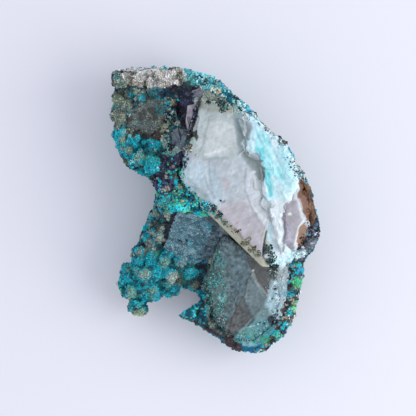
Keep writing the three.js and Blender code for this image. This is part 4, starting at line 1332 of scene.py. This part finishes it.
def bump(tree, shader, source, strength, depth):
    """Fine relief from a texture, with its depth in millimetres."""
    node = tree.nodes.new("ShaderNodeBump")
    node.inputs["Strength"].default_value = strength
    node.inputs["Distance"].default_value = depth * MM
    tree.links.new(source.outputs["Fac"], node.inputs["Height"])
    tree.links.new(node.outputs["Normal"], shader.inputs["Normal"])


def mineral(name, roughness, fine, spread, relief=None, transmission=0.0, **surface):
    """A material in the mesh's own colours. Fine is its noise's size, and relief is strength and depth."""
    material, tree, shader = new_material(name, roughness, **surface)
    grain = tinted(tree, shader, fine, spread)
    shader.inputs["Transmission Weight"].default_value = transmission
    if relief:
        bump(tree, shader, grain, *relief)
    return material


def crust_material():
    return mineral("crust", roughness=0.6, fine=0.5, spread=0.3, relief=(0.5, 0.15))


def grain_material():
    """Duller than the crust, because small grains would glint."""
    return mineral("grains", roughness=0.65, fine=0.3, spread=0.2, specular=0.25)


def pale_material():
    """Milky crystal, which lets a part of the light through."""
    return mineral(
        "pale_crystal", roughness=0.22, fine=2.2, spread=0.1, relief=(0.25, 0.1), transmission=0.25, ior=1.52
    )


def silk_material():
    return mineral("silky_sheet", roughness=0.5, fine=0.6, spread=0.12, relief=(0.4, 0.1))


def smoky_material():
    return mineral(
        "smoky_crystal", roughness=0.24, fine=1.2, spread=0.15, relief=(0.3, 0.1), transmission=0.2, ior=1.54
    )


def facet_material():
    return mineral("lilac_facets", roughness=0.3, fine=0.8, spread=0.25, relief=(0.4, 0.1), ior=1.54)


def dress(piece, slot, *materials, nodes=()):
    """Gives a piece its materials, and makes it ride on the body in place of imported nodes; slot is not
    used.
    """
    piece.data.materials.clear()
    for material in materials:
        piece.data.materials.append(material)
    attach(piece, BODY)
    if nodes:
        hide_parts(*nodes)


def split_sheet(slab):
    """Gives the faces of the silky sheet and of the matte parts the slab's second material."""
    faces = slab.data.polygons
    centres = np.empty(len(faces) * 3)
    faces.foreach_get("center", centres)
    centres = centres.reshape(-1, 3) / MM
    normals = np.empty(len(faces) * 3)
    faces.foreach_get("normal", normals)
    silk = np.max(list(covers(MATTE, centres)), axis=0) * (normals.reshape(-1, 3)[:, 2] > SILK_TURN)
    faces.foreach_set("material_index", (silk > 0.5).astype(np.int32))
    slab.data.update()


# Camera, floor and light
def build_camera():
    data = bpy.data.cameras.new("camera")
    data.sensor_width = SENSOR_WIDTH
    data.lens = SENSOR_WIDTH * CAMERA_DISTANCE / (PICTURE_PIXELS * PIXEL)
    data.clip_end = VIEW_METRES
    camera = bpy.data.objects.new("camera", data)
    camera.location = Vector((*FIELD_CENTRE, FOCUS_HEIGHT + CAMERA_DISTANCE)) * MM
    bpy.context.scene.collection.objects.link(camera)
    bpy.context.scene.camera = camera


def build_floor():
    corners = [(x * FLOOR_HALF, y * FLOOR_HALF, 0) for x, y in ((-1, -1), (1, -1), (1, 1), (-1, 1))]
    floor = mesh_object("floor", np.array(corners), [(0, 1, 2, 3)])
    material, _, shader = new_material("floor", roughness=0.9, specular=0.1)
    shader.inputs["Base Color"].default_value = (*linear(FLOOR_COLOUR), 1)
    shader.inputs["Emission Color"].default_value = (*FLOOR_GLOW, 1)
    shader.inputs["Emission Strength"].default_value = 1
    floor.data.materials.append(material)


def build_light():
    data = bpy.data.lights.new("key", "AREA")
    data.shape = "DISK"
    data.size = KEY_SIZE * MM
    data.energy = KEY_POWER
    data.color = KEY_COLOUR
    light = bpy.data.objects.new("key", data)
    light.location = Vector(KEY_PLACE) * MM
    light.rotation_euler = (-Vector(KEY_PLACE)).to_track_quat("-Z", "Y").to_euler()
    bpy.context.scene.collection.objects.link(light)
    world = bpy.data.worlds.new("world")
    world.use_nodes = True
    world.node_tree.nodes["Background"].inputs["Color"].default_value = (*SKY_COLOUR, 1)
    bpy.context.scene.world = world
    bpy.context.scene.view_settings.view_transform = "Standard"


build_camera()
build_floor()
build_light()

rock, lump = build_rock()
slab = build_pale_crystal()
smoky = build_smoky_crystal()
grains = build_grains(rock, lump, slab, smoky)
blades = build_blades()

dress(rock, "crusted_rock", crust_material(), nodes=["matrix"])
dress(slab, "pale_crystal", pale_material(), silk_material(), nodes=["pale_crystal"])
split_sheet(slab)
dress(smoky, "smoky_crystal", smoky_material(), nodes=["smoky_crystal"])
shared_grain_material = grain_material()
for piece in grains:
    dress(piece, "crusted_rock", shared_grain_material)
shared_facet_material = facet_material()
for piece in blades:
    dress(piece, "crusted_rock", shared_facet_material)
